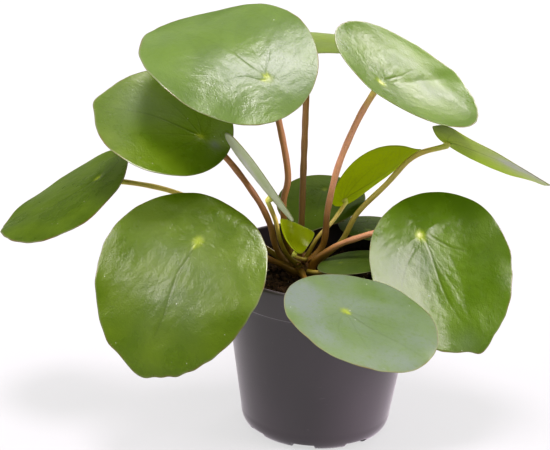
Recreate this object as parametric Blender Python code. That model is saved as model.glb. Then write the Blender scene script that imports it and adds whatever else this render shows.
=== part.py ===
"""Potted Chinese money plant in a plastic nursery pot, at its real size, in metres with +Z up.

The origin is the centre of the pot's base. +X is the photograph's right, and -Y points towards its viewer.
Run it with blender --background --python part.py, or from Blender's text editor.
"""

import math
from dataclasses import dataclass

import bmesh
import bpy
import numpy as np
from mathutils import Matrix, Vector

MM = 0.001
GAP = 0.3 * MM

# Pot: a turned shell with a proud band under its rim and drainage channels between its feet
POT_SIDES = 48
POT_HEIGHT = 104 * MM
RIM_RADIUS = 60 * MM
WALL_RADIUS_AT_BASE = 42.7 * MM
WALL_SLOPE = 0.155
WALL_THICKNESS = 1.2 * MM
FLOOR_THICKNESS = 3.2 * MM
FOOT_RADIUS = 37.5 * MM
CORNER_HEIGHT = 10 * MM
BAND_HEIGHT = 18 * MM
BAND_STEP = 1.2 * MM
LIP_THICKNESS = 2.4 * MM
CHANNEL_COUNT = 8
CHANNEL_WIDTH = math.radians(20)
CHANNEL_TURN = math.radians(35)
CHANNEL_DEPTH = 2 * MM
CHANNEL_START = 20 * MM
DRAIN_HOLE_RADIUS = 3 * MM
DRAIN_HOLE_RING = 29 * MM

# Soil, and the short stem that stands in it
SOIL_LEVEL = 92 * MM
SOIL_RINGS = 5
SOIL_LUMPS = 0.9 * MM
STEM_SIDES = 20
STEM_CENTRE = Vector((-12 * MM, 5 * MM, 0))
STEM_BOTTOM = 74 * MM
STEM_TOP = 101 * MM
STEM_RADIUS = 8.5 * MM
STEM_DOME = 6 * MM
LOWER_TIER = 6.8 * MM
UPPER_TIER = 4.6 * MM
INNER_TIER = 1.5 * MM

# Leaves
BLADE_THICKNESS = 0.9 * MM
BLADE_RINGS = 5
BLADE_SPOKES = 28
YOUNG_BLADE_RINGS = 4
YOUNG_BLADE_SPOKES = 20
YOUNG_LENGTH = 70
TIP_WIDTH = 0.22
STALK_STEP = 9 * MM
STALK_NECK = 2 * MM
STALK_CLEARANCE = 0.4 * MM
STALK_ROOT_SWELL = 1.15
STALK_END_SWELL = 1.1


@dataclass(frozen=True)
class Leaf:
    """One leaf: where its blade stands, how it is cut and bent, and where its stalk runs.

    Sizes are in millimetres and angles in degrees. The blade joins its stalk at the hub, away from its edge.
    facing is the direction that the upper face leans to, counted from +X towards +Y, tilt is how far it leans
    from level, and spin turns the tip from straight downhill. hub_share is the hub's distance from the rear
    edge as a share of the length. egg widens the rear half, and tip is how far the point stands out. curl is
    the turn along the whole midrib, hook the extra turn gained towards the tip, fold the turn from side to
    side and twist the turn about the midrib. Positive turns droop.
    root is the stalk's direction from the stem's middle and its height there, and via lists points it passes.
    """

    name: str
    hub: tuple
    facing: float
    tilt: float
    spin: float
    length: float
    width: float
    hub_share: float
    egg: float
    tip: float
    curl: float
    hook: float
    fold: float
    twist: float
    stalk: float
    root: tuple
    tier: float
    via: tuple
    green: tuple = (0.10, 0.20, 0.03)
    stalk_colour: tuple = (0.20, 0.10, 0.05)


DARK_GREEN = (0.07, 0.14, 0.03)
YOUNG_GREEN = (0.22, 0.30, 0.02)
OLIVE = (0.28, 0.26, 0.06)
RED_BROWN = (0.26, 0.10, 0.06)

LEAVES = (
    Leaf("crown", (-35, -15, 217), -84, 41, -132, 104, 93, 0.23, -0.04, 2, 38, 20, 2, 28,
         3.8, (175, 98.5), UPPER_TIER, ((-21, 3, 112), (-24, -1, 137), (-22, -4, 156), (-28, -9, 188))),
    Leaf("upper_left", (-72, -5, 178), -57, 32, -135, 80, 83, 0.22, 0.06, 4, 24, 4, -1, -3,
         3.6, (208, 94.8), LOWER_TIER, ((-27, 1, 109), (-32, 2, 125), (-41, 0, 142), (-59, -3, 166))),
    Leaf("far_left", (-132, 15, 143), 192, 36, -1, 86, 80, 0.25, 0.04, 1, -16, 0, 15, 1,
         3.0, (155, 95.5), LOWER_TIER, ((-36, 8, 108), (-60, 9, 126), (-88, 12, 137), (-114, 14, 141)),
         green=DARK_GREEN, stalk_colour=OLIVE),
    Leaf("front_left", (-71, -50, 132), -108, 43, -15, 109, 99, 0.26, 0.10, 3, 53, 3, 5, 0,
         3.6, (242, 95), LOWER_TIER, ((-27, -9, 104), (-45, -25, 117))),
    Leaf("front", (12, -94, 114), -35, 15, 0, 87, 86, 0.37, 0.03, 0, 13, 6, 7, 5,
         3.4, (268, 95.5), LOWER_TIER, ((-7, -28, 99), (2, -58, 107))),
    Leaf("front_right", (55, -22, 130), -61, 48, 22, 97, 91, 0.23, 0.18, 4, 41, 4, 1, 17,
         3.6, (325, 96.5), LOWER_TIER, ((-3, -1, 104), (7, -4, 113), (18, -8, 120), (33, -14, 127)),
         stalk_colour=RED_BROWN),
    Leaf("upper_right", (28, 10, 208), -3, 33, 54, 100, 98, 0.26, 0.07, 1, -33, 0, -44, 1,
         3.8, (8, 98), UPPER_TIER, ((0.5, 7, 111), (2, 7, 132), (7, 8, 159), (17, 9, 187)),
         stalk_colour=RED_BROWN),
    Leaf("far_right", (71, 32, 168), 49, 37, -89, 76, 74, 0.08, 0.04, 3, 8, 3, 0, 7,
         3.2, (38, 95), LOWER_TIER, ((10, 10, 110), (19.5, 13, 128), (35, 18, 144), (51, 25, 160)),
         stalk_colour=OLIVE),
    Leaf("back_top", (-13, 62, 216), 80, 4, 20, 86, 84, 0.28, 0.05, 2, 22, 0, 12, 0,
         3.8, (122, 98), UPPER_TIER, ((-13, 10, 120), (-13, 18, 146), (-13, 28, 168), (-13, 47, 198))),
    Leaf("young_right", (11.5, 30, 130.5), 124, 54, 227, 59, 56, 0.12, -0.27, 2, -4, 2, -62, 16,
         2.4, (68, 98), UPPER_TIER, ((-3, 10, 113), (5, 17, 120)),
         green=YOUNG_GREEN, stalk_colour=OLIVE),
    Leaf("young_left", (-30.5, -41, 156), 24, 55, 122, 64, 54, 0.29, -0.26, 1, -11, 6, -21, -1,
         2.6, (263, 98), UPPER_TIER, ((-20, -4, 106), (-25, -10, 118), (-28, -21, 134)),
         stalk_colour=OLIVE),
    Leaf("back", (1, 62, 124), -108, 13, 5, 56, 53, 0.28, 0.05, 3, 9, 0, 5, 10,
         2.6, (100, 95.5), LOWER_TIER, ((-10, 26, 104), (-4, 49, 115)),
         green=DARK_GREEN, stalk_colour=OLIVE),
    Leaf("back_right", (27, 30, 111), 40, 4, 0, 52, 48, 0.30, 0.04, 2, 10, 0, 6, 0,
         2.4, (62, 95.5), LOWER_TIER, ((3, 18, 102), (18, 26, 107)),
         green=DARK_GREEN, stalk_colour=OLIVE),
    Leaf("low_right", (10, -11, 106), 178, 14, 165, 44, 34, 0.30, 0.03, 2, 12, 0, 4, 0,
         2.2, (298, 95.5), LOWER_TIER, ((0, -7, 98),),
         green=DARK_GREEN, stalk_colour=OLIVE),
    Leaf("heart", (-15.4, -18, 115), 11, 34, 112, 23, 27, 0.08, -0.44, 0, -56, -12, -120, -20,
         1.8, (315, 99), INNER_TIER, ((-9.5, -2, 104), (-11.5, -10, 107)),
         green=YOUNG_GREEN, stalk_colour=OLIVE),
)


def clear_scene():
    """Removes every object of the startup scene."""
    for obj in list(bpy.data.objects):
        bpy.data.objects.remove(obj, do_unlink=True)


def material(name, colour, roughness):
    """A Principled material of one linear colour."""
    finish = bpy.data.materials.new(name)
    finish.use_nodes = True
    shader = finish.node_tree.nodes["Principled BSDF"]
    shader.inputs["Base Color"].default_value = (*colour, 1)
    shader.inputs["Roughness"].default_value = roughness
    shader.inputs["Metallic"].default_value = 0
    return finish


def add_object(name, mesh, finish=None):
    """Links a mesh to the scene as an object of that name."""
    obj = bpy.data.objects.new(name, mesh)
    bpy.context.scene.collection.objects.link(obj)
    if finish:
        mesh.materials.append(finish)
        mesh.shade_smooth()
        mesh.set_sharp_from_angle(angle=math.radians(35))
    return obj


def add_cutter(name, mesh):
    """A helper object that only cuts others and never shows."""
    obj = add_object(name, mesh)
    obj.hide_render = True
    obj.display_type = "WIRE"
    return obj


def cut(obj, cutter):
    """Takes the cutter's shape out of the object."""
    boolean = obj.modifiers.new(cutter.name, "BOOLEAN")
    boolean.operation = "DIFFERENCE"
    boolean.object = cutter


def mesh_of(name, shape):
    """Turns a finished bmesh into a mesh with its faces pointing out."""
    bmesh.ops.recalc_face_normals(shape, faces=shape.faces)
    mesh = bpy.data.meshes.new(name)
    shape.to_mesh(mesh)
    shape.free()
    return mesh


def turned_mesh(name, profile, sides, centre=Vector()):
    """Spins a closed profile of (radius, height) points about the upright line through centre."""
    shape = bmesh.new()
    points = [shape.verts.new(centre + Vector((radius, 0, height))) for radius, height in profile]
    edges = [shape.edges.new(pair) for pair in zip(points, points[1:])]
    bmesh.ops.spin(shape, geom=points + edges, cent=centre, axis=(0, 0, 1), angle=math.tau, steps=sides,
                   use_merge=True)
    bmesh.ops.remove_doubles(shape, verts=shape.verts, dist=1e-7)
    return mesh_of(name, shape)


def wall_radius(height):
    """Outer radius of the pot's plain wall at a height."""
    return WALL_RADIUS_AT_BASE + WALL_SLOPE * height


def pot_profile():
    """The pot's outline from the middle of its underside, up the outside, over the lip and down the inside."""
    band_bottom = POT_HEIGHT - BAND_HEIGHT
    lip_inner = RIM_RADIUS - LIP_THICKNESS
    corner_sweep = wall_radius(CORNER_HEIGHT) - FOOT_RADIUS
    corner = []
    for step in range(4):
        angle = math.pi / 2 * step / 3
        corner.append((FOOT_RADIUS + corner_sweep * math.sin(angle), CORNER_HEIGHT * (1 - math.cos(angle))))
    outside = [
        (0, 0),
        *corner,
        (wall_radius(band_bottom), band_bottom),
        (wall_radius(band_bottom) + BAND_STEP, band_bottom + 0.6 * MM),
        (RIM_RADIUS, POT_HEIGHT - 1.2 * MM),
        (RIM_RADIUS - 0.5 * MM, POT_HEIGHT - 0.3 * MM),
        (RIM_RADIUS - 1.2 * MM, POT_HEIGHT),
    ]
    inside = [
        (lip_inner + 0.3 * MM, POT_HEIGHT - 0.4 * MM),
        (lip_inner, POT_HEIGHT - 1.4 * MM),
        (soil_radius(SOIL_LEVEL) + GAP, SOIL_LEVEL),
        (soil_radius(CORNER_HEIGHT) + GAP, CORNER_HEIGHT),
        (FOOT_RADIUS, FLOOR_THICKNESS),
        (0, FLOOR_THICKNESS),
    ]
    return outside + inside


def soil_radius(height):
    """Radius of the soil at a height, a hair inside the pot's wall."""
    return wall_radius(height) - WALL_THICKNESS - GAP


def wedge(shape, middle, width, inner, outer, bottom, top):
    """Adds a closed block between two radii and two directions to a bmesh."""
    corners = []
    for height in (bottom, top):
        for radius, side in ((inner, -1), (outer, -1), (outer, 1), (inner, 1)):
            angle = middle + side * width / 2
            corners.append(shape.verts.new((radius * math.cos(angle), radius * math.sin(angle), height)))
    for face in ((3, 2, 1, 0), (4, 5, 6, 7), (0, 1, 5, 4), (1, 2, 6, 5), (2, 3, 7, 6), (3, 0, 4, 7)):
        shape.faces.new([corners[index] for index in face])


def channel_angles():
    """Directions of the drainage channels round the pot's base."""
    return [CHANNEL_TURN + math.tau * index / CHANNEL_COUNT for index in range(CHANNEL_COUNT)]


def build_pot():
    """The nursery pot: a thin shell with open drainage channels and a drain hole in each."""
    pot = add_object("pot", turned_mesh("pot", pot_profile(), POT_SIDES),
                     material("pot_plastic", (0.085, 0.075, 0.09), 0.5))
    channels = bmesh.new()
    holes = bmesh.new()
    for angle in channel_angles():
        wedge(channels, angle, CHANNEL_WIDTH, CHANNEL_START, 1.5 * FOOT_RADIUS, -CHANNEL_DEPTH, CHANNEL_DEPTH)
        spot = Matrix.Translation((DRAIN_HOLE_RING * math.cos(angle), DRAIN_HOLE_RING * math.sin(angle), 0))
        bmesh.ops.create_cone(holes, cap_ends=True, segments=10, radius1=DRAIN_HOLE_RADIUS,
                              radius2=DRAIN_HOLE_RADIUS, depth=3 * FLOOR_THICKNESS, matrix=spot)
    cut(pot, add_cutter("channel_cutter", mesh_of("channel_cutter", channels)))
    cut(pot, add_cutter("hole_cutter", mesh_of("hole_cutter", holes)))


def soil_top(radius, angle):
    """Height of the soil's lumpy surface: a low mound at the stem with slow waves and smaller lumps."""
    x = radius * math.cos(angle) / MM
    y = radius * math.sin(angle) / MM
    lumps = math.sin(0.31 * x + 1.3) * math.sin(0.27 * y - 0.6) + 0.6 * math.sin(0.53 * x - 0.47 * y)
    return SOIL_LEVEL + SOIL_LUMPS * (0.5 * lumps - 0.6)


def build_soil():
    """The potting soil: it fills the pot to a little under the rim and has a hole for the stem."""
    shape = bmesh.new()
    edge = soil_radius(SOIL_LEVEL)
    bottom = FLOOR_THICKNESS + GAP
    rings = [
        [(FOOT_RADIUS - GAP, bottom)] * POT_SIDES,
        [(soil_radius(CORNER_HEIGHT), CORNER_HEIGHT)] * POT_SIDES,
    ]
    angles = [math.tau * index / POT_SIDES for index in range(POT_SIDES)]
    for ring in range(SOIL_RINGS):
        radius = (edge - 0.2 * MM) * (1 - ring / SOIL_RINGS)
        rings.append([(radius, soil_top(radius, angle)) for angle in angles])
    loops = []
    for ring in rings:
        loops.append([shape.verts.new((radius * math.cos(angle), radius * math.sin(angle), height))
                      for (radius, height), angle in zip(ring, angles)])
    base = shape.verts.new((0, 0, bottom))
    middle = shape.verts.new((0, 0, soil_top(0, 0)))
    for side in range(POT_SIDES):
        beside = (side + 1) % POT_SIDES
        shape.faces.new((base, loops[0][beside], loops[0][side]))
        shape.faces.new((middle, loops[-1][side], loops[-1][beside]))
        for low, high in zip(loops, loops[1:]):
            shape.faces.new((low[side], low[beside], high[beside], high[side]))
    soil = add_object("soil", mesh_of("soil", shape), material("potting_soil", (0.02, 0.014, 0.01), 0.95))
    cut(soil, add_cutter("stem_hole_cutter", stem_mesh("stem_hole_cutter", GAP)))


def stem_mesh(name, growth=0.0):
    """The stem as a turned knob with a domed top, or a copy of it grown by a clearance."""
    radius = STEM_RADIUS + growth
    top = STEM_TOP + growth
    shoulder = STEM_TOP - STEM_DOME
    profile = [(0, STEM_BOTTOM - growth), (0.8 * radius, STEM_BOTTOM - growth), (radius, SOIL_LEVEL - 4 * MM)]
    for step in range(5):
        angle = math.pi / 2 * step / 5
        profile.append((radius * math.cos(angle), shoulder + (top - shoulder) * math.sin(angle)))
    profile.append((0, top))
    return turned_mesh(name, profile, STEM_SIDES, STEM_CENTRE)


def leaf_frame(leaf):
    """Columns: towards the tip along the blade, across it, and out of its upper face."""
    facing, tilt, spin = (math.radians(angle) for angle in (leaf.facing, leaf.tilt, leaf.spin))
    outward = Vector((math.cos(facing), math.sin(facing), 0))
    upright = Vector((0, 0, 1))
    normal = math.sin(tilt) * outward + math.cos(tilt) * upright
    downhill = math.cos(tilt) * outward - math.sin(tilt) * upright
    tip = math.cos(spin) * downhill + math.sin(spin) * normal.cross(downhill)
    return np.array([tip, normal.cross(tip), normal]).T


def blade_outline(leaf, spokes):
    """The flat outline round the hub, in millimetres: an egg shape with a small point at the tip."""
    angle = np.linspace(0, 2 * np.pi, spokes, endpoint=False)
    from_tip = np.angle(np.exp(1j * angle))
    point = leaf.tip * np.exp(-((from_tip / TIP_WIDTH) ** 2))
    along = leaf.length / 2 * (1 + np.cos(angle)) - leaf.hub_share * leaf.length + point
    across = leaf.width / 2 * np.sin(angle) * (1 - leaf.egg * np.cos(angle))
    return along, across


def bent(leaf, along, across):
    """Carries flat blade points onto the bent blade, in the blade's own frame and in millimetres.

    The midrib turns by curl and hook as it runs to the tip, and its course is the sum of many short steps.
    Each line across it is an arc that turns by fold over the width, and is twisted about the midrib.
    """
    curl, hook, fold, twist = (math.radians(angle) for angle in (leaf.curl, leaf.hook, leaf.fold, leaf.twist))
    steps = (np.arange(24) + 0.5) / 24
    share = along / leaf.length
    turn_on_way = curl * share[..., None] * steps + hook * (share[..., None] * steps) ** 2
    midrib_x = along * np.cos(turn_on_way).mean(-1)
    midrib_z = -along * np.sin(turn_on_way).mean(-1)
    turn = curl * share + hook * share ** 2
    spread = fold / leaf.width if fold else 1e-9
    sideways = np.sin(spread * across) / spread
    drop = -(1 - np.cos(spread * across)) / spread
    roll = twist * share
    y = sideways * np.cos(roll) - drop * np.sin(roll)
    rise = sideways * np.sin(roll) + drop * np.cos(roll)
    return np.stack([midrib_x + rise * np.sin(turn), y, midrib_z + rise * np.cos(turn)], -1)


def is_young(leaf):
    """Small leaves take a coarser mesh."""
    return leaf.length < YOUNG_LENGTH


def build_blade(leaf):
    """The round blade: spokes and rings about the hub, split into triangles, then given its thickness."""
    rings = YOUNG_BLADE_RINGS if is_young(leaf) else BLADE_RINGS
    spokes = YOUNG_BLADE_SPOKES if is_young(leaf) else BLADE_SPOKES
    along, across = blade_outline(leaf, spokes)
    reach = np.linspace(0, 1, rings + 1)[1:, None]
    flat = bent(leaf, reach * along, reach * across).reshape(-1, 3)
    points = np.vstack([np.zeros(3), flat]) @ leaf_frame(leaf).T + np.array(leaf.hub)
    faces = []
    for spoke in range(spokes):
        beside = (spoke + 1) % spokes
        faces.append((0, 1 + spoke, 1 + beside))
        for ring in range(rings - 1):
            inner = 1 + ring * spokes
            outer = inner + spokes
            faces.append((inner + spoke, outer + spoke, outer + beside))
            faces.append((inner + spoke, outer + beside, inner + beside))
    mesh = bpy.data.meshes.new(leaf.name + "_blade")
    mesh.from_pydata((points * MM).tolist(), [], faces)
    blade = add_object(leaf.name + "_blade", mesh, material(leaf.name + "_blade", leaf.green, 0.35))
    thickness = blade.modifiers.new("thickness", "SOLIDIFY")
    thickness.thickness = BLADE_THICKNESS
    thickness.offset = 0


def smooth_route(points, spacing):
    """Points at even steps along a smooth curve through the given ones, whose last stretch stays one piece."""
    points = np.array(points)
    ends = np.vstack([2 * points[0] - points[1], points, 2 * points[-1] - points[-2]])
    fine = []
    for before, start, end, after in zip(ends, ends[1:], ends[2:], ends[3:]):
        for t in np.linspace(0, 1, 12, endpoint=False):
            fine.append(0.5 * (2 * start + (end - before) * t + (2 * before - 5 * start + 4 * end - after) * t ** 2
                               + (3 * start - before - 3 * end + after) * t ** 3))
    fine = np.array(fine[:-11])
    reach = np.concatenate([[0], np.cumsum(np.linalg.norm(np.diff(fine, axis=0), axis=1))])
    count = max(5, round(reach[-1] / spacing) + 1)
    stops = np.linspace(0, reach[-1], count)
    route = np.stack([np.interp(stops, reach, fine[:, axis]) for axis in range(3)], 1)
    return np.vstack([route, points[-1]])


def stalk_route(leaf):
    """The stalk's course: out of the stem, past its own points and up to the blade's underside at right angles."""
    angle = math.radians(leaf.root[0])
    root = STEM_CENTRE + Vector((leaf.tier * math.cos(angle), leaf.tier * math.sin(angle), leaf.root[1] * MM))
    normal = leaf_frame(leaf)[:, 2]
    end = np.array(leaf.hub) * MM - normal * (BLADE_THICKNESS / 2 + STALK_CLEARANCE)
    neck = end - normal * STALK_NECK
    via = [np.array(point) * MM for point in leaf.via]
    return smooth_route([np.array(root), *via, neck, end], STALK_STEP)


def build_stalk(leaf, stem_cutter):
    """The leaf stalk: a round rod, a little thicker at the stem and under the blade, seated on the stem."""
    route = stalk_route(leaf)
    curve = bpy.data.curves.new(leaf.name + "_stalk", "CURVE")
    curve.dimensions = "3D"
    curve.bevel_depth = leaf.stalk / 2 * MM
    curve.bevel_resolution = 2
    curve.use_fill_caps = True
    spline = curve.splines.new("POLY")
    spline.points.add(len(route) - 1)
    for index, (point, place) in enumerate(zip(spline.points, route)):
        share = index / (len(route) - 1)
        point.co = (*place, 1)
        point.radius = 1 + (STALK_ROOT_SWELL - 1) * (1 - share) ** 3 + (STALK_END_SWELL - 1) * share ** 4
    rod = bpy.data.objects.new("rod", curve)
    shape = bmesh.new()
    shape.from_mesh(rod.to_mesh())
    bpy.data.objects.remove(rod)
    bmesh.ops.remove_doubles(shape, verts=shape.verts, dist=1e-6)
    stalk = add_object(leaf.name + "_stalk", mesh_of(leaf.name + "_stalk", shape),
                       material(leaf.name + "_stalk", leaf.stalk_colour, 0.45))
    cut(stalk, stem_cutter)


def build_plant():
    """The stem, and every leaf's stalk and blade."""
    add_object("stem", stem_mesh("stem"), material("stem_bark", (0.10, 0.05, 0.03), 0.7))
    stem_cutter = add_cutter("stalk_seat_cutter", stem_mesh("stalk_seat_cutter", GAP))
    for leaf in LEAVES:
        build_stalk(leaf, stem_cutter)
        build_blade(leaf)


def main():
    clear_scene()
    build_pot()
    build_soil()
    build_plant()


main()
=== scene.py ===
"""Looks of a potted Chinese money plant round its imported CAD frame, in metres with +Z up.

Every piece is a closed surface worked out as whole arrays from the plant's own sizes, and every finish is
worked out by shader nodes. +X is the photograph's right, and -Y points towards its viewer.
"""

import logging
import math
from dataclasses import dataclass
from enum import Enum

import bpy
import numpy as np
from mathutils import Matrix, Vector


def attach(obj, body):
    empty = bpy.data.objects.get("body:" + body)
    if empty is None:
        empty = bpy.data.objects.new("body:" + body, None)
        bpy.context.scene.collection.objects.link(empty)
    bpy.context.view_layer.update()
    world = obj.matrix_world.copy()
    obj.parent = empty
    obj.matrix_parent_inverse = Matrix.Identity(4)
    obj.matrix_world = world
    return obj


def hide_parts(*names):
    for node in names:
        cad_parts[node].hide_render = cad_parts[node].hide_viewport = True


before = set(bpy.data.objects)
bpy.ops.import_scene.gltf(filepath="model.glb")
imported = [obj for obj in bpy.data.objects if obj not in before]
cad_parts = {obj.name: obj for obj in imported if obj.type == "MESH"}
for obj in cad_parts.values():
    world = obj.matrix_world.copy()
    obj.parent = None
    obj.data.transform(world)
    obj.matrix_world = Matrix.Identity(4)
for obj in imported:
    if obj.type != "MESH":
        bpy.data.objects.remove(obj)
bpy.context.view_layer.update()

LOG = logging.getLogger("money_plant")
BODY = "root"
MM = 0.001

Colour = tuple[float, float, float]
Socket = bpy.types.NodeSocket


class LeafTone(Enum):
    """The greens that the blades come in."""

    GREEN = "leaf_green"
    WARM = "leaf_warm_green"
    DARK = "leaf_dark_green"
    # a brighter copy of the common green that paints backlit glow and grazing sheen
    PAINTED_GLOW_GREEN = "leaf_green_painted_glow"
    YOUNG = "leaf_young_green"

    def slot(self) -> str:
        """The material slot for this green, which the warm green and the painted glow green share with the
        common one.
        """
        return LeafTone.GREEN.value if self in (LeafTone.WARM, LeafTone.PAINTED_GLOW_GREEN) else self.value


class StalkTone(Enum):
    """The colours that the leaf stalks come in."""

    BROWN = "stalk_brown"
    # a darker copy of the common brown that paints shade on a stalk
    PAINTED_SHADE_BROWN = "stalk_brown_painted_shade"
    RED_BROWN = "stalk_red_brown"
    OLIVE = "stalk_olive"

    def slot(self) -> str:
        """The material slot for this colour, which the brown with painted shade shares with the common one.
        """
        return StalkTone.BROWN.value if self is StalkTone.PAINTED_SHADE_BROWN else self.value


def frozen_waves(points: np.ndarray, wavelength: float, seed: int, count: int = 9) -> np.ndarray:
    """A smooth random relief between about -1 and 1: the mean of plane waves in random directions.

    Args:
        points: Places, with their coordinates on the last axis.
        wavelength: Typical distance between crests, in the units of the points.
        seed: Number that settles the directions and phases.
        count: How many waves are laid over each other.

    Returns:
        One value for each place.
    """
    draw = np.random.default_rng(seed)
    heading = draw.normal(size=(points.shape[-1], count))
    heading *= draw.uniform(0.7, 1.4, count) / np.linalg.norm(heading, axis=0)
    phase = draw.uniform(0, 2 * np.pi, count)
    return np.sin(points @ heading * (2 * np.pi / wavelength) + phase).sum(-1) / math.sqrt(2 * count)


def bell(distance: np.ndarray, width: float) -> np.ndarray:
    """A smooth bump that is 1 at no distance and fades over the width."""
    return np.exp(-((distance / width) ** 2))


def rounded_ridge(distance: np.ndarray, blunt: float, reach: float) -> np.ndarray:
    """A ridge that falls off on both sides as an exponential, its top rounded over the root of blunt."""
    return np.exp(-np.sqrt(distance ** 2 + blunt) / reach)


@dataclass
class Skin:
    """A closed surface: rings of points from one pole to the other.

    Seen from outside at the first pole, each ring runs anticlockwise, so that the faces point outwards.
    """

    rings: np.ndarray

    def faces(self) -> tuple[np.ndarray, np.ndarray]:
        """Joins neighbouring rings by four-sided faces and each end ring to its pole by triangles.

        Returns:
            The corner numbers of every face in one row, and how many corners each face has.
        """
        count, sides = self.rings.shape[:2]
        here = np.arange(count * sides).reshape(count, sides) + 1
        beside = np.roll(here, -1, axis=1)
        walls = np.stack([here[:-1], here[1:], beside[1:], beside[:-1]], -1).reshape(-1, 4)
        first = np.stack([np.zeros(sides, int), here[0], beside[0]], -1)
        last = np.stack([np.full(sides, count * sides + 1), beside[-1], here[-1]], -1)
        corners = np.concatenate([first.ravel(), walls.ravel(), last.ravel()])
        sizes = np.concatenate([np.full(sides, 3), np.full(len(walls), 4), np.full(sides, 3)])
        return corners, sizes

    def points(self) -> np.ndarray:
        """Every ring's points between the two poles, which are the middles of the end rings."""
        return np.vstack([self.rings[0].mean(0), self.rings.reshape(-1, 3), self.rings[-1].mean(0)])


def spread_values(values: np.ndarray) -> np.ndarray:
    """Values on the rings with each end ring's mean put on its pole.

    Args:
        values: One number or three for each point of each ring.

    Returns:
        One row for each point of the skin, poles included.
    """
    if values.ndim == 3:
        return np.vstack([values[0].mean(0), values.reshape(-1, 3), values[-1].mean(0)])
    return np.concatenate([[values[0].mean()], values.ravel(), [values[-1].mean()]])


def make_piece(name: str, skins: list[Skin], finish: bpy.types.Material, slot: str, replaces: tuple = (),
               values: dict[str, list[np.ndarray]] | None = None) -> bpy.types.Object:
    """Puts skins into one mesh object that rides on the plant's body.

    Args:
        name: Name of the piece.
        skins: The closed surfaces that it is made of.
        finish: Its material.
        slot: The material slot; not used.
        replaces: CAD nodes that it stands for.
        values: Named values on the rings of each skin, which the finish reads as attributes.

    Returns:
        The new object, at the origin.
    """
    places, corners, sizes, start = [], [], [], 0
    for skin in skins:
        skin_points = skin.points()
        skin_corners, skin_sizes = skin.faces()
        places.append(skin_points)
        corners.append(skin_corners + start)
        sizes.append(skin_sizes)
        start += len(skin_points)
    place = np.vstack(places).astype(np.float32)
    corner = np.concatenate(corners)
    size = np.concatenate(sizes)
    mesh = bpy.data.meshes.new(name)
    mesh.vertices.add(len(place))
    mesh.vertices.foreach_set("co", place.ravel())
    mesh.loops.add(len(corner))
    mesh.loops.foreach_set("vertex_index", corner.astype(np.int32))
    mesh.polygons.add(len(size))
    mesh.polygons.foreach_set("loop_start", (np.cumsum(size) - size).astype(np.int32))
    mesh.update(calc_edges=True)
    mesh.validate()
    for key, on_skins in (values or {}).items():
        spread = np.concatenate([spread_values(value) for value in on_skins])
        vector = spread.ndim == 2
        attribute = mesh.attributes.new(key, "FLOAT_VECTOR" if vector else "FLOAT", "POINT")
        attribute.data.foreach_set("vector" if vector else "value", spread.astype(np.float32).ravel())
    mesh.shade_smooth()
    mesh.materials.append(finish)
    piece = bpy.data.objects.new(name, mesh)
    bpy.context.scene.collection.objects.link(piece)
    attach(piece, BODY)
    if replaces:
        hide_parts(*replaces)
    LOG.info("%s: %d faces", name, len(size))
    return piece


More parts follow.
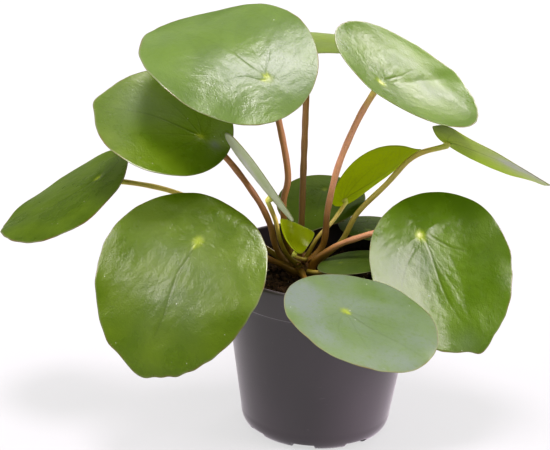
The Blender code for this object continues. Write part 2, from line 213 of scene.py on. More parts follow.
class Shader:
    """A material whose nodes are added in few words."""

    def __init__(self, name: str) -> None:
        """Starts an empty node tree.

        Args:
            name: The material's name.
        """
        self.material = bpy.data.materials.new(name)
        self.material.use_nodes = True
        self.tree = self.material.node_tree
        self.tree.nodes.clear()

    def add(self, kind: str, inputs: dict | None = None, **settings: object) -> bpy.types.Node:
        """Adds a node.

        Args:
            kind: The node's type without its ShaderNode prefix.
            inputs: Sockets by name or number, each with a value or the socket that feeds it.
            settings: The node's own properties.

        Returns:
            The new node.
        """
        node = self.tree.nodes.new("ShaderNode" + kind)
        for key, value in settings.items():
            setattr(node, key, value)
        for key, value in (inputs or {}).items():
            socket = node.inputs[key]
            if isinstance(value, Socket):
                self.tree.links.new(value, socket)
            elif isinstance(value, tuple) and socket.type == "RGBA":
                socket.default_value = (*value, 1)
            else:
                socket.default_value = value
        return node

    def place(self) -> Socket:
        """The place on the piece, in metres."""
        return self.add("TexCoord").outputs["Object"]

    def value(self, name: str) -> Socket:
        """A single number that the piece carries under that name."""
        return self.add("Attribute", attribute_name=name).outputs["Fac"]

    def vector(self, name: str) -> Socket:
        """Three numbers that the piece carries under that name."""
        return self.add("Attribute", attribute_name=name).outputs["Vector"]

    def noise(self, where: Socket, scale: float, detail: float = 2, roughness: float = 0.5) -> Socket:
        """Soft random patches, with scale patches to the unit."""
        inputs = {"Vector": where, "Scale": scale, "Detail": detail, "Roughness": roughness}
        return self.add("TexNoise", inputs).outputs["Fac"]

    def cells(self, where: Socket, scale: float, feature: str = "F1") -> Socket:
        """A pattern of random cells, with scale cells to the unit."""
        return self.add("TexVoronoi", {"Vector": where, "Scale": scale}, feature=feature).outputs["Distance"]

    def ramp(self, value: Socket, low: float, high: float, start: float = 0, end: float = 1) -> Socket:
        """Carries low..high smoothly to start..end, and holds the ends.

        Args:
            value: What is carried.
            low: Where the slope begins.
            high: Where it ends.
            start: The result up to low.
            end: The result from high on.

        Returns:
            The result's socket.
        """
        node = self.add("MapRange", {"Value": value, "From Min": low, "From Max": high, "To Min": start,
                                     "To Max": end}, interpolation_type="SMOOTHSTEP")
        return node.outputs["Result"]

    def sum(self, operation: str, first: Socket | float, second: Socket | float = 0.0) -> Socket:
        """One sum of two numbers, named as Blender's Math node names it."""
        return self.add("Math", {0: first, 1: second}, operation=operation).outputs[0]

    def times(self, first: Socket | float, second: Socket | float) -> Socket:
        """The product of two numbers."""
        return self.sum("MULTIPLY", first, second)

    def blend(self, share: Socket | float, first: Socket | Colour, second: Socket | Colour,
              mode: str = "MIX") -> Socket:
        """Two colours mixed by a share, which counts the second."""
        node = self.add("Mix", {0: share, 6: first, 7: second}, data_type="RGBA", blend_type=mode)
        return node.outputs[2]

    def layered(self, base: Socket | Colour, *coats: tuple[Socket, Socket | Colour]) -> Socket:
        """Lays coats of colour over a base, one after the other.

        Args:
            base: The colour that lies lowest.
            coats: Pairs of a coat's share and its colour.

        Returns:
            The last colour's socket.
        """
        for share, colour in coats:
            base = self.blend(share, base, colour)
        return base

    def bump(self, height: Socket, distance: float, strength: float = 1.0,
             under: Socket | None = None) -> Socket:
        """Tilts the surface by a height.

        Args:
            height: The relief, from 0 to 1.
            distance: How many metres its full range stands high.
            strength: Share of the tilt that is taken.
            under: A tilt that it is added to.

        Returns:
            The tilted normal.
        """
        inputs = {"Height": height, "Distance": distance, "Strength": strength}
        if under:
            inputs["Normal"] = under
        return self.add("Bump", inputs).outputs["Normal"]

    def finish(self, shader: Socket) -> bpy.types.Material:
        """Shows the shader on the surface and hands over the material."""
        self.add("OutputMaterial", {"Surface": shader})
        return self.material


@dataclass(frozen=True)
class LeafFinish:
    """A waxy blade: saturated green above with sunk veins and a yellow hub, paler and duller beneath.

    Patterns are given in patches to the metre, and heights of fine relief in metres. thinness is the
    share of light that comes through, and full_haze the most that the pale cover takes, which is partly
    dull bloom and partly painted sheen in the haze colour. The dust colour also paints that sheen beneath
    and a pale glow in the light that comes through.
    """

    tone: LeafTone
    deep: Colour
    lit: Colour
    beneath: Colour
    through: Colour
    hub: Colour = (0.30, 0.37, 0.03)
    heart: Colour = (0.58, 0.60, 0.28)
    margin: Colour = (0.17, 0.18, 0.10)
    worn: Colour = (0.15, 0.11, 0.05)
    # pale colour of dull bloom and painted sheen on the upper face
    haze_and_sheen: Colour = (0.14, 0.175, 0.165)
    # colour of dust specks, and of painted sheen beneath and painted glow in the light that comes through
    dust: Colour = (0.60, 0.62, 0.56)
    thinness: float = 0.25
    gloss: float = 0.6
    full_haze: float = 0.85
    mottling: float = 45
    grain: float = 420
    net: float = 420
    specks: float = 210
    wrinkle_height: float = 0.12 * MM
    crackle_height: float = 0.022 * MM
    pore_height: float = 0.03 * MM

    def material(self) -> bpy.types.Material:
        """Builds the finish.

        The upper colour runs from deep to lit with soft mottling, then streaks, a net of tiny fields,
        a pale cover that is partly dull bloom and partly painted sheen, grain, veins, hub, blemishes and
        dust are laid over it. Beneath and in the light that comes through, the same pale share lays the dust
        colour as painted sheen and glow. Fine wrinkles, crackle and pores tilt the surface.

        Returns:
            The blade's material.
        """
        shader = Shader(self.tone.value)
        where = shader.place()
        vein = shader.value("vein")
        near_hub = shader.value("near_hub")
        under = shader.value("beneath")
        # share of the pale cover: partly dull bloom, partly painted sheen and highlights
        wax_and_sheen = shader.value("haze_and_sheen")
        mottle = shader.noise(where, self.mottling, 4, 0.6)
        streak = shader.noise(shader.vector("rays"), 1.0, 4, 0.6)
        net = shader.cells(where, self.net, "DISTANCE_TO_EDGE")
        grain = shader.noise(where, self.grain, 4, 0.65)
        haze_and_sheen = shader.times(wax_and_sheen, shader.ramp(grain, 0.3, 0.7, 0.85, 1.1))
        speck = shader.ramp(shader.cells(where, self.specks), 0.04, 0.09, 0.8, 0)
        dust = shader.times(speck, shader.ramp(shader.noise(where, 60, 1), 0.54, 0.6))

        upper = shader.layered(
            shader.blend(shader.ramp(mottle, 0.3, 0.7), self.deep, self.lit),
            (shader.ramp(streak, 0.45, 0.75, 0, 0.25), self.lit),
            (shader.ramp(net, 0.0, 0.12, 0.22, 0), self.deep),
            # painted sheen and dull bloom, in the pale cover colour
            (shader.sum("MINIMUM", haze_and_sheen, self.full_haze), self.haze_and_sheen),
            (shader.ramp(grain, 0.5, 0.72, 0, 0.3), self.lit),
            (shader.ramp(grain, 0.28, 0.48, 0.3, 0), self.deep),
            (shader.times(vein, 0.35), self.deep),
            (shader.times(vein, shader.ramp(near_hub, 0.0, 0.3)), self.hub),
            (shader.ramp(near_hub, 0.12, 0.9, 0, 0.8), self.hub),
            (shader.ramp(near_hub, 0.72, 0.99), self.heart),
            (shader.times(shader.value("blemish"), 0.5), self.deep),
            (dust, self.dust))
        lower = shader.layered(
            shader.blend(shader.ramp(mottle, 0.3, 0.7, 0, 0.5), self.beneath, self.lit),
            (shader.ramp(net, 0.0, 0.2, 0.35, 0), self.margin),
            # painted sheen beneath, in the dust colour
            (haze_and_sheen, self.dust),
            (shader.times(vein, 0.7), self.margin))
        edge = shader.blend(shader.ramp(shader.noise(where, 70, 3), 0.48, 0.62), self.margin, self.worn)
        colour = shader.layered(upper, (under, lower), (shader.value("margin"), edge))

        off_middle = shader.sum("SUBTRACT", shader.noise(where, 260, 3, 0.55), 0.5)
        crackle = shader.ramp(shader.sum("ABSOLUTE", off_middle), 0.0, 0.09)
        normal = shader.bump(shader.noise(where, 330, 3, 0.6), self.wrinkle_height)
        normal = shader.bump(crackle, self.crackle_height, 1.0, normal)
        normal = shader.bump(shader.noise(where, 1100, 2), self.pore_height, 1.0, normal)
        rough = shader.sum("ADD", shader.ramp(mottle, 0.2, 0.8, 0.24, 0.32), shader.times(under, 0.45))
        rough = shader.sum("ADD", rough, shader.times(wax_and_sheen, 0.2))
        body = shader.add("BsdfPrincipled", {
            "Base Color": colour, "Roughness": rough, "Normal": normal, "Specular IOR Level": self.gloss})
        # painted glow in the light that comes through, in the dust colour
        through = shader.layered(self.through, (shader.times(vein, 0.5), self.deep), (haze_and_sheen, self.dust))
        glow = shader.add("BsdfTranslucent", {"Color": through, "Normal": normal})
        skin = shader.add("MixShader", {0: self.thinness, 1: body.outputs[0], 2: glow.outputs[0]})
        return shader.finish(skin.outputs[0])


@dataclass(frozen=True)
class StalkFinish:
    """A smooth fleshy stalk: its own colour up from the root, turning yellow-green under the blade."""

    tone: StalkTone
    root: Colour
    middle: Colour
    neck: Colour

    def material(self) -> bpy.types.Material:
        """Builds the finish.

        The attribute "up" runs from 0 at the root to 1 under the blade and sets the colour. Long streaks
        and small raised dots break it up.

        Returns:
            The stalk's material.
        """
        shader = Shader(self.tone.value)
        where = shader.place()
        up = shader.value("up")
        patch = shader.noise(where, 130, 3)
        wander = shader.sum("ADD", up, shader.times(shader.sum("SUBTRACT", patch, 0.5), 0.22))
        colour = shader.blend(shader.ramp(wander, 0.1, 0.6), self.root, self.middle)
        colour = shader.blend(shader.ramp(wander, 0.84, 0.99), colour, self.neck)
        streak = shader.noise(shader.vector("grain"), 1.0, 4, 0.6)
        colour = shader.blend(shader.ramp(streak, 0.42, 0.72, 0, 0.45), colour, self.neck, "SOFT_LIGHT")
        dots = shader.ramp(shader.cells(where, 900), 0.12, 0.3, 1, 0)
        colour = shader.blend(shader.times(dots, 0.35), colour, self.root)
        normal = shader.bump(shader.sum("ADD", streak, shader.times(dots, 0.4)), 0.12 * MM, 0.6)
        body = shader.add("BsdfPrincipled", {
            "Base Color": colour, "Roughness": shader.ramp(patch, 0.2, 0.8, 0.36, 0.5), "Normal": normal,
            "Specular IOR Level": 0.45, "Subsurface Weight": 0.15, "Subsurface Radius": (1.2, 0.8, 0.3),
            "Subsurface Scale": 1.0 * MM})
        return shader.finish(body.outputs[0])


@dataclass(frozen=True)
class EarthFinish:
    """A crumbly or woody matter: two browns in patches and grains, with no shine."""

    name: str
    dark: Colour
    light: Colour
    grain: float
    relief: float
    roughness: float = 0.9

    def material(self) -> bpy.types.Material:
        """Builds the finish.

        Returns:
            The material, with grain patches to the metre and its relief in metres.
        """
        shader = Shader(self.name)
        where = shader.place()
        patch = shader.noise(where, self.grain * 0.2, 4, 0.6)
        grain = shader.noise(where, self.grain, 5, 0.7)
        colour = shader.blend(shader.ramp(patch, 0.35, 0.7), self.dark, self.light)
        colour = shader.blend(shader.ramp(grain, 0.45, 0.62, 0.6, 0), colour, self.dark)
        normal = shader.bump(grain, self.relief)
        body = shader.add("BsdfPrincipled", {
            "Base Color": colour, "Roughness": self.roughness, "Normal": normal, "Specular IOR Level": 0.25})
        return shader.finish(body.outputs[0])


@dataclass(frozen=True)
class PotFinish:
    """Thin recycled plastic: grey-violet, finely grained and matt, with a few dull scuffs."""

    body: Colour = (0.060, 0.049, 0.056)
    shade: Colour = (0.050, 0.041, 0.047)
    scuff: Colour = (0.16, 0.145, 0.16)

    def material(self) -> bpy.types.Material:
        """Builds the finish.

        Returns:
            The pot's material.
        """
        shader = Shader("pot_plastic")
        where = shader.place()
        cloud = shader.noise(where, 16, 3)
        grain = shader.noise(where, 2200, 2)
        level = shader.add("Mapping", {"Vector": where, "Scale": (14, 14, 260)})
        slant = {"Vector": where, "Rotation": (0.4, 0.2, 0.9), "Scale": (60, 900, 300)}
        flow = shader.noise(level.outputs[0], 1.0, 4)
        scratch = shader.noise(shader.add("Mapping", slant).outputs[0], 1.0, 3, 0.7)
        colour = shader.blend(shader.ramp(cloud, 0.3, 0.7), self.shade, self.body)
        colour = shader.blend(shader.ramp(scratch, 0.66, 0.76, 0, 0.4), colour, self.scuff)
        height = shader.sum("ADD", shader.times(grain, 0.5), flow)
        normal = shader.bump(height, 0.05 * MM, 0.5)
        dull = shader.ramp(scratch, 0.6, 0.8, 0, 0.15)
        rough = shader.sum("ADD", shader.ramp(grain, 0.3, 0.7, 0.30, 0.40), dull)
        body = shader.add("BsdfPrincipled", {
            "Base Color": colour, "Roughness": rough, "Normal": normal, "Specular IOR Level": 0.9,
            "Sheen Weight": 0.6, "Sheen Roughness": 0.4, "Sheen Tint": (1.0, 0.92, 1.0)})
        return shader.finish(body.outputs[0])


@dataclass(frozen=True)
class Leaf:
    """One leaf: where its blade stands, how it is cut and bent, and where its stalk runs.

    Sizes are in millimetres and angles in degrees. The blade joins its stalk at the hub, away from its
    edge. facing is the direction that the upper face leans to, counted from +X towards +Y, tilt is how far
    it leans from level, and spin turns the tip from straight downhill.

    hub_share is the hub's distance from the rear edge as a share of the length. egg widens the rear half,
    and tip is how far the point stands out. curl is the turn along the whole midrib, hook the extra turn
    gained towards the tip, fold the turn from side to side and twist the turn about the midrib. Positive
    turns droop.

    stalk is the stalk's thickness. root is its direction from the stem's middle and its height there, tier
    how far from that middle it starts, and via lists points it passes.

    pucker and ripple scale the relief between the veins and the waves of the margin, and haze the even pale
    cover, which is partly dull bloom and partly painted sheen. left_rise and right_rise are how steeply the
    blade leaves the midrib on either side, seen towards the tip, and dome, tip_swell and rear_swell are the
    heights that its middle and its two ends bulge by.
    ridge is the height of a low ridge that crosses the midrib ridge_at from the hub, and keel that of one
    along the midrib.

    creases are the courses of sharp folds, as points along and across the midrib from the hub, marks are
    small rings with their size, and blooms are pale patches of painted sheen and highlights, with their size
    and share. hub_light scales the yellow over the hub.
    """

    name: str
    hub: tuple
    facing: float
    tilt: float
    spin: float
    length: float
    width: float
    hub_share: float
    egg: float
    tip: float
    curl: float
    hook: float
    fold: float
    twist: float
    stalk: float
    root: tuple
    tier: float
    via: tuple
    pucker: float = 1.0
    ripple: float = 1.0
    # share of the even pale cover: partly dull bloom, partly painted sheen
    haze_and_sheen: float = 0.0
    left_rise: float = 0.0
    right_rise: float = 0.0
    dome: float = 0.0
    tip_swell: float = 0.0
    rear_swell: float = 0.0
    ridge: float = 0.0
    ridge_at: float = 28.0
    keel: float = 0.0
    creases: tuple = ()
    marks: tuple = ()
    # pale patches that paint sheen and highlights onto the blade
    sheen_blooms: tuple = ()
    hub_light: float = 1.0
    tone: LeafTone = LeafTone.GREEN
    stalk_tone: StalkTone = StalkTone.BROWN

    def bulge(self, flat: np.ndarray) -> np.ndarray:
        """Height of the broad bulges at flat points, which come to nothing at the margin.

        Each is a share of how far inside the outline a point lies. Those of the ends are arches from the
        hub to the end, four times their rise and fall. The keel grows from the hub over its run.

        Args:
            flat: Flat points.

        Returns:
            Heights in millimetres.
        """
        along = 2 * flat[..., 0] / self.length - 1 + 2 * self.hub_share
        across = 2 * flat[..., 1] / self.width
        inside = np.clip(1 - along ** 2 - across ** 2, 0, 1)
        ahead = np.clip(flat[..., 0] / (self.length * (1 - self.hub_share)), 0, 1)
        behind = np.clip(-flat[..., 0] / (self.length * self.hub_share), 0, 1)
        ends = self.tip_swell * ahead * (1 - ahead) + self.rear_swell * behind * (1 - behind)
        ridge = self.ridge * rounded_ridge(flat[..., 0] - self.ridge_at, 4, RIDGE_REACH)
        grown = np.clip(flat[..., 0] / KEEL_RUN, 0, 1)
        keel = self.keel * grown * rounded_ridge(flat[..., 1], 2, KEEL_REACH)
        return (self.dome * inside + 4 * ends + (ridge + keel) * (2 - inside)) * inside

    def hub_rise(self) -> float:
        """Height of the dome over the hub."""
        return float(self.bulge(np.zeros(2)))


LOWER_TIER = 6.8
UPPER_TIER = 4.6
INNER_TIER = 1.5
RIDGE_REACH = 12
KEEL_REACH = 8
KEEL_RUN = 15
SMALL_LEAF = 70

# The haze shares and bloom patches of these leaves paint the lights' sheen and highlights as paler colour.
LEAVES = (
    Leaf("crown", (-35, -15, 217), -84, 41, -132, 104, 93, 0.23, -0.04, 2, 38, 20, 2, 28,
         3.8, (175, 98.5), UPPER_TIER, ((-21, 3, 112), (-24, -1, 137), (-22, -4, 156), (-28, -9, 188)),
         pucker=0.75, haze_and_sheen=0.2, left_rise=-7, right_rise=-0.5, dome=-2, tip_swell=1, ridge=0.6,
         creases=(((2, 0), (5, -0.5), (16, -0.5), (24, -1), (27, -3), (28, -7)),
                  ((1, -1), (3, -2), (7, -7), (11, -14)), ((1, 2), (3, 4), (10, 7), (14, 11), (16, 17))),
         marks=((17, -20, 1.5), (3, -20, 1.8)),
         sheen_blooms=((2, -18, 20, 0.3), (-12, -8, 14, 0.2), (16, 12, 14, 0.3)), hub_light=0.5),
    Leaf("upper_left", (-72, -5, 178), -57, 32, -135, 80, 83, 0.22, 0.06, 3, 24, 4, -1, -3,
         3.6, (208, 94.8), LOWER_TIER, ((-27, 1, 109), (-32, 2, 125), (-41, 0, 142), (-59, -3, 166)),
         pucker=0.5, ripple=0.5, left_rise=3, right_rise=-4, dome=-1, rear_swell=0.6, ridge=-0.6,
         ridge_at=17, sheen_blooms=((-9, 2, 3.5, 0.8), (34, -8, 20, 0.45)), hub_light=0.6, tone=LeafTone.WARM),
    Leaf("far_left", (-132, 15, 143), 192, 36, -1, 86, 80, 0.25, 0.04, 1, -16, 0, 15, 1,
         3.0, (155, 95.5), LOWER_TIER, ((-36, 8, 108), (-60, 9, 126), (-88, 12, 137), (-114, 14, 141)),
         pucker=0.7, haze_and_sheen=0.05, hub_light=0.3, tone=LeafTone.DARK, stalk_tone=StalkTone.OLIVE),
    Leaf("front_left", (-71, -50, 132), -108, 43, -15, 109, 99, 0.26, 0.10, 4.5, 53, 3, 5, 0,
         3.6, (242, 95), LOWER_TIER, ((-27, -9, 104), (-45, -25, 117)),
         ripple=1.3, left_rise=2, right_rise=-7.5, dome=-2, tip_swell=2, rear_swell=-1.5, ridge=0.5,
         ridge_at=31, creases=(((3, 0), (13, 0), (21, -1), (33, 1), (47, 3), (59, 2)),),
         marks=((21, 0, 1.2),), sheen_blooms=((28, 0, 32, 0.35),), hub_light=0.8, tone=LeafTone.WARM),
    Leaf("front", (12, -94, 114), -35, 15, 0, 87, 86, 0.37, 0.03, 0, 13, 6, 7, 5,
         3.4, (268, 95.5), LOWER_TIER, ((-7, -28, 99), (2, -58, 107)), pucker=0.6, haze_and_sheen=0.72,
         left_rise=-0.5, right_rise=-1, dome=-3, rear_swell=-1, ridge=0.5, ridge_at=32,
         marks=((7, 27, 1.5),), sheen_blooms=((-19, -14, 20, 0.5), (44, -8, 15, 0.15)), hub_light=0.6),
    Leaf("front_right", (55, -22, 130), -61, 48, 22, 97, 91, 0.23, 0.18, 5, 41, 4, 1, 17,
         3.6, (325, 96.5), LOWER_TIER, ((-3, -1, 104), (7, -4, 113), (18, -8, 120), (33, -14, 127)),
         pucker=1.2, left_rise=1, right_rise=-7.5, dome=-3, tip_swell=-2, rear_swell=-0.4, ridge=-0.8,
         ridge_at=26, creases=(((4, 1), (16, -1), (29, -4), (42, -6), (56, -5)),
                               ((3, 5), (8, 8), (16, 13), (23, 20)), ((5, -8), (10, -19), (18, -28))),
         sheen_blooms=((6, -24, 16, 0.4), (14, -6, 9, 0.3), (68, -9, 9, 0.35)), stalk_tone=StalkTone.RED_BROWN),
    Leaf("upper_right", (28, 10, 208), -3, 33, 54, 100, 98, 0.26, 0.07, 1, -33, 0, -44, 1,
         3.8, (8, 98), UPPER_TIER, ((0.5, 7, 111), (2, 7, 132), (7, 8, 159), (17, 9, 187)),
         pucker=0.8, ripple=0.6, left_rise=7.5, right_rise=-5, dome=2, ridge=0.9, ridge_at=40, keel=-1.1,
         creases=(((8, 3), (29, 6), (42, 9)),), marks=((35, -4, 1.2),),
         haze_and_sheen=0.12, sheen_blooms=((35, 20, 11, 0.3), (46, -9, 12, 0.3)), stalk_tone=StalkTone.RED_BROWN),
    Leaf("far_right", (71, 32, 168), 49, 37, -89, 76, 74, 0.08, 0.04, 3, 8, 3, 0, 7,
         3.2, (38, 95), LOWER_TIER, ((10, 10, 110), (19.5, 13, 128), (35, 18, 144), (51, 25, 160)),
         sheen_blooms=((60, 0, 32, 1.5),), tone=LeafTone.PAINTED_GLOW_GREEN, stalk_tone=StalkTone.OLIVE),
    Leaf("back_top", (-13, 62, 216), 80, 4, 20, 86, 84, 0.28, 0.05, 2, 22, 0, 12, 0,
         3.8, (122, 98), UPPER_TIER, ((-13, 10, 120), (-13, 18, 146), (-13, 28, 168), (-13, 47, 198)),
         haze_and_sheen=0.45, tone=LeafTone.PAINTED_GLOW_GREEN, stalk_tone=StalkTone.PAINTED_SHADE_BROWN),
    Leaf("young_right", (11.5, 30, 130.5), 124, 54, 227, 59, 56, 0.12, -0.27, 2, -4, 2, -62, 16,
         2.4, (68, 98), UPPER_TIER, ((-3, 10, 113), (5, 17, 120)),
         pucker=0.6, ripple=0.5, hub_light=0.4, tone=LeafTone.YOUNG, stalk_tone=StalkTone.OLIVE),
    Leaf("young_left", (-30.5, -41, 156), 24, 55, 122, 64, 54, 0.29, -0.26, 1, -11, 6, -21, -1,
         2.6, (263, 98), UPPER_TIER, ((-20, -4, 106), (-25, -10, 118), (-28, -21, 134)),
         pucker=0.5, ripple=0.5, haze_and_sheen=0.9, stalk_tone=StalkTone.OLIVE),
    Leaf("back", (1, 62, 124), -108, 13, 5, 56, 53, 0.28, 0.05, 3, 9, 0, 5, 10,
         2.6, (100, 95.5), LOWER_TIER, ((-10, 26, 104), (-4, 49, 115)),
         pucker=0.5, haze_and_sheen=0.05, ripple=0.5, hub_light=0.4, tone=LeafTone.DARK, stalk_tone=StalkTone.OLIVE),
    Leaf("back_right", (27, 30, 111), 40, 4, 0, 52, 48, 0.30, 0.04, 2, 10, 0, 6, 0,
         2.4, (62, 95.5), LOWER_TIER, ((3, 18, 102), (18, 26, 107)),
         pucker=0.4, ripple=0.4, hub_light=0.4, tone=LeafTone.DARK, stalk_tone=StalkTone.OLIVE),
    Leaf("low_right", (10, -11, 106), 178, 14, 165, 44, 34, 0.30, 0.03, 2, 12, 0, 4, 0,
         2.2, (298, 95.5), LOWER_TIER, ((0, -7, 98),),
         pucker=0.2, ripple=0.1, haze_and_sheen=0.2, hub_light=0.3, tone=LeafTone.DARK, stalk_tone=StalkTone.OLIVE),
    Leaf("heart", (-15.4, -18, 115), 11, 34, 112, 23, 27, 0.08, -0.44, 0, -56, -12, -120, -20,
         1.8, (315, 99), INNER_TIER, ((-9.5, -2, 104), (-11.5, -10, 107)),
         pucker=0.3, ripple=0.2, hub_light=0.3, tone=LeafTone.YOUNG, stalk_tone=StalkTone.OLIVE),
)


def leaf_axes(leaf: Leaf) -> np.ndarray:
    """The blade's own frame.

    Args:
        leaf: The leaf.

    Returns:
        Columns of unit length: towards the tip, across it, and out of the upper face.
    """
    facing, tilt, spin = np.radians([leaf.facing, leaf.tilt, leaf.spin])
    outward = np.array([math.cos(facing), math.sin(facing), 0])
    upright = np.array([0, 0, 1])
    normal = math.sin(tilt) * outward + math.cos(tilt) * upright
    downhill = math.cos(tilt) * outward - math.sin(tilt) * upright
    tip = math.cos(spin) * downhill + math.sin(spin) * np.cross(normal, downhill)
    return np.stack([tip, np.cross(normal, tip), normal], 1)


@dataclass
class Blade:
    """The round blade of a leaf, from its flat outline to its veins, puckers and waved margin.

    Sizes are in millimetres until the finished points, which are in metres. A name in _reach is how far
    something spreads, and one in _wave the distance between its crests.

    main_veins lists each ray's direction from the midrib and its strength. vein_arch is the share by which
    a ray turns back towards the midrib as it runs out, and creased_veins the strength that rays keep on a
    creased blade. Side veins start at shares of the way to the margin, run on for side_vein_run of it, and
    turn by side_vein_turn degrees.
    """

    leaf: Leaf
    seed: int
    spokes: int = 224
    rings: int = 56
    tip_width: float = 0.19
    middle_thickness: float = 0.8
    edge_thickness: float = 0.5
    hub_boss: float = 0.5
    boss_reach: float = 3.0
    dimple: float = 0.5
    dimple_reach: float = 3.2
    vein_depth: float = 0.20
    vein_reach: float = 5.5
    hub_reach: float = 14
    pucker_height: float = 0.20
    pucker_wave: float = 26
    long_swell: float = 0.12
    long_wave: float = 15
    short_swell: float = 0.05
    short_wave: float = 7
    crinkle: float = 0.05
    crinkle_wave: float = 6.5
    wander_wave: float = 11
    slope_reach: float = 13
    margin_height: float = 0.7
    margin_wave: float = 34
    margin_width: float = 0.3
    wax_wave: float = 30
    hub_glow: float = 3.6
    midrib_steps: int = 24
    main_veins: tuple = ((0, 1.0), (33, 0.5), (68, 0.42), (104, 0.36), (140, 0.3), (174, 0.25))
    vein_arch: float = 0.30
    creased_veins: float = 0.35
    side_vein_parents: tuple = (0, 33, 68, 104)
    side_vein_starts: tuple = (0.24, 0.44, 0.64)
    side_vein_run: float = 0.36
    side_vein_turn: float = 26
    side_vein_strength: float = 0.3

    def outline(self, angle: np.ndarray) -> np.ndarray:
        """The flat outline round the hub: an egg with a small point at the tip.

        Along the midrib it is half the length times 1 plus the cosine, less the hub's distance. Across,
        it is half the width times the sine, widened to the rear. The margin's radius ripples by a few
        tenths of a millimetre.

        Args:
            angle: Directions about the egg's middle, 0 at the tip.

        Returns:
            Points along and across the midrib.
        """
        leaf = self.leaf
        from_tip = np.angle(np.exp(1j * angle))
        point = leaf.tip * bell(from_tip, self.tip_width)
        along = leaf.length / 2 * (1 + np.cos(angle)) - leaf.hub_share * leaf.length + point
        across = leaf.width / 2 * np.sin(angle) * (1 - leaf.egg * np.cos(angle))
        circle = np.stack([np.cos(angle), np.sin(angle)], -1)
        ripple = 1 + 0.006 * leaf.ripple * frozen_waves(circle, 0.8, self.seed + 50)
        ripple += 0.004 * leaf.ripple * frozen_waves(circle, 0.24, self.seed + 51, 14)
        return np.stack([along * ripple, across * ripple], -1)

    def bent(self, flat: np.ndarray) -> np.ndarray:
        """Carries flat points onto the bent blade, in its own frame.

        The midrib turns by curl and hook as it runs to the tip, and its course is the sum of many short
        steps. Each line across it is an arc that turns by fold over the width, and is twisted about the
        midrib.

        Args:
            flat: Flat points.

        Returns:
            The same points in space, along, across and above the hub's own level.
        """
        leaf = self.leaf
        curl, hook, fold, twist = np.radians([leaf.curl, leaf.hook, leaf.fold, leaf.twist])
        along, across = flat[..., 0], flat[..., 1]
        steps = (np.arange(self.midrib_steps) + 0.5) / self.midrib_steps
        share = along / leaf.length
        turn_on_way = curl * share[..., None] * steps + hook * (share[..., None] * steps) ** 2
        midrib_x = along * np.cos(turn_on_way).mean(-1)
        midrib_z = -along * np.sin(turn_on_way).mean(-1)
        turn = curl * share + hook * share ** 2
        spread = fold / leaf.width if fold else 1e-9
        sideways = np.sin(spread * across) / spread
        drop = -(1 - np.cos(spread * across)) / spread
        roll = twist * share
        y = sideways * np.cos(roll) - drop * np.sin(roll)
        rise = sideways * np.sin(roll) + drop * np.cos(roll)
        return np.stack([midrib_x + rise * np.sin(turn), y, midrib_z + rise * np.cos(turn)], -1)

    def vein_courses(self) -> list[tuple[np.ndarray, float]]:
        """Flat courses of the veins, each with its strength.

        The main veins leave the hub in rays, and those beside the midrib arch towards the tip: their
        direction turns back as they run out. Side veins branch from the midrib and the three rays beside
        it, and arch the same way.

        Returns:
            Pairs of points along a vein, in shares of the outline's reach and direction, and its strength.
        """
        draw = np.random.default_rng(self.seed)
        courses = []
        for side in (-1, 1):
            for ray, strength in self.main_veins:
                if ray == 0 and side == 1:
                    continue
                strength *= self.creased_veins if self.leaf.creases else 1
                direction = math.radians(side * (ray + draw.uniform(-4, 4) * (ray > 0)))
                out = np.linspace(0, 0.93, 22)
                sway = 0.05 * np.sin(5 * out + draw.uniform(0, 6))
                heading = direction * (1 - self.vein_arch * out ** 1.5) + sway
                courses.append((np.stack([out, heading], -1), strength))
        for parent in self.side_vein_parents:
            for side in (-1, 1):
                for start in self.side_vein_starts:
                    begin = start + draw.uniform(-0.05, 0.05)
                    out = np.linspace(begin, min(0.95, begin + self.side_vein_run), 10)
                    away = math.radians(self.side_vein_turn * (out[-1] - begin) / self.side_vein_run)
                    grown = ((out - begin) / (out[-1] - begin)) ** 0.8
                    base = math.radians(parent) * (1 - self.vein_arch * out ** 1.5)
                    turn = (1 if parent == 0 else draw.choice((-1, 1))) * away * grown
                    courses.append((np.stack([out, side * (base + turn)], -1), self.side_vein_strength))
        return courses

    def vein_field(self, flat: np.ndarray) -> tuple[np.ndarray, np.ndarray]:
        """Nearness to the veins at flat points.

        Each vein's nearness is a bell over its distance, narrowing and weakening as it runs out. Vein
        courses in reach and direction are turned into flat points by the outline's own reach. A leaf's
        creases count as veins.

        Args:
            flat: Flat points.

        Returns:
            The strongest nearness, and the distance in millimetres to the nearest vein.
        """
        leaf = self.leaf
        nearness = np.zeros(flat.shape[:2])
        nearest = np.full(flat.shape[:2], 1e3)
        lines = []
        for course, strength in self.vein_courses():
            out, heading = course.T
            points = out[:, None] * self.outline(self.angle_towards(heading))
            lines.append((points, 1 - 0.75 * out, strength))
        for crease in leaf.creases:
            lines.append((np.array(crease, float), np.linspace(1, 0.45, len(crease)), 1.0))
        for points, fading, strength in lines:
            gap = flat[..., None, :] - (points[1:] + points[:-1]) / 2
            half = (points[1:] - points[:-1]) / 2
            reach = np.clip((gap * half).sum(-1) / (half ** 2).sum(-1), -1, 1)
            distance = np.linalg.norm(gap - reach[..., None] * half, axis=-1)
            which = distance.argmin(-1)
            closest = np.take_along_axis(distance, which[..., None], -1)[..., 0]
            fade = fading[which + 1]
            width = (0.35 + 0.65 * strength * fade) * leaf.length / 100
            nearness = np.maximum(nearness, strength * fade * bell(closest, width))
            nearest = np.minimum(nearest, closest)
        return nearness, nearest

    def angle_towards(self, heading: np.ndarray) -> np.ndarray:
        """The outline's angle whose point lies in each heading from the hub.

        It is read off a fine turn of the outline.

        Args:
            heading: Directions from the hub, in radians.

        Returns:
            The outline's angles.
        """
        angle = np.linspace(-np.pi, np.pi, 721)
        rim = self.outline(angle)
        seen = np.unwrap(np.arctan2(rim[:, 1], rim[:, 0]))
        return np.interp(heading, seen, angle)

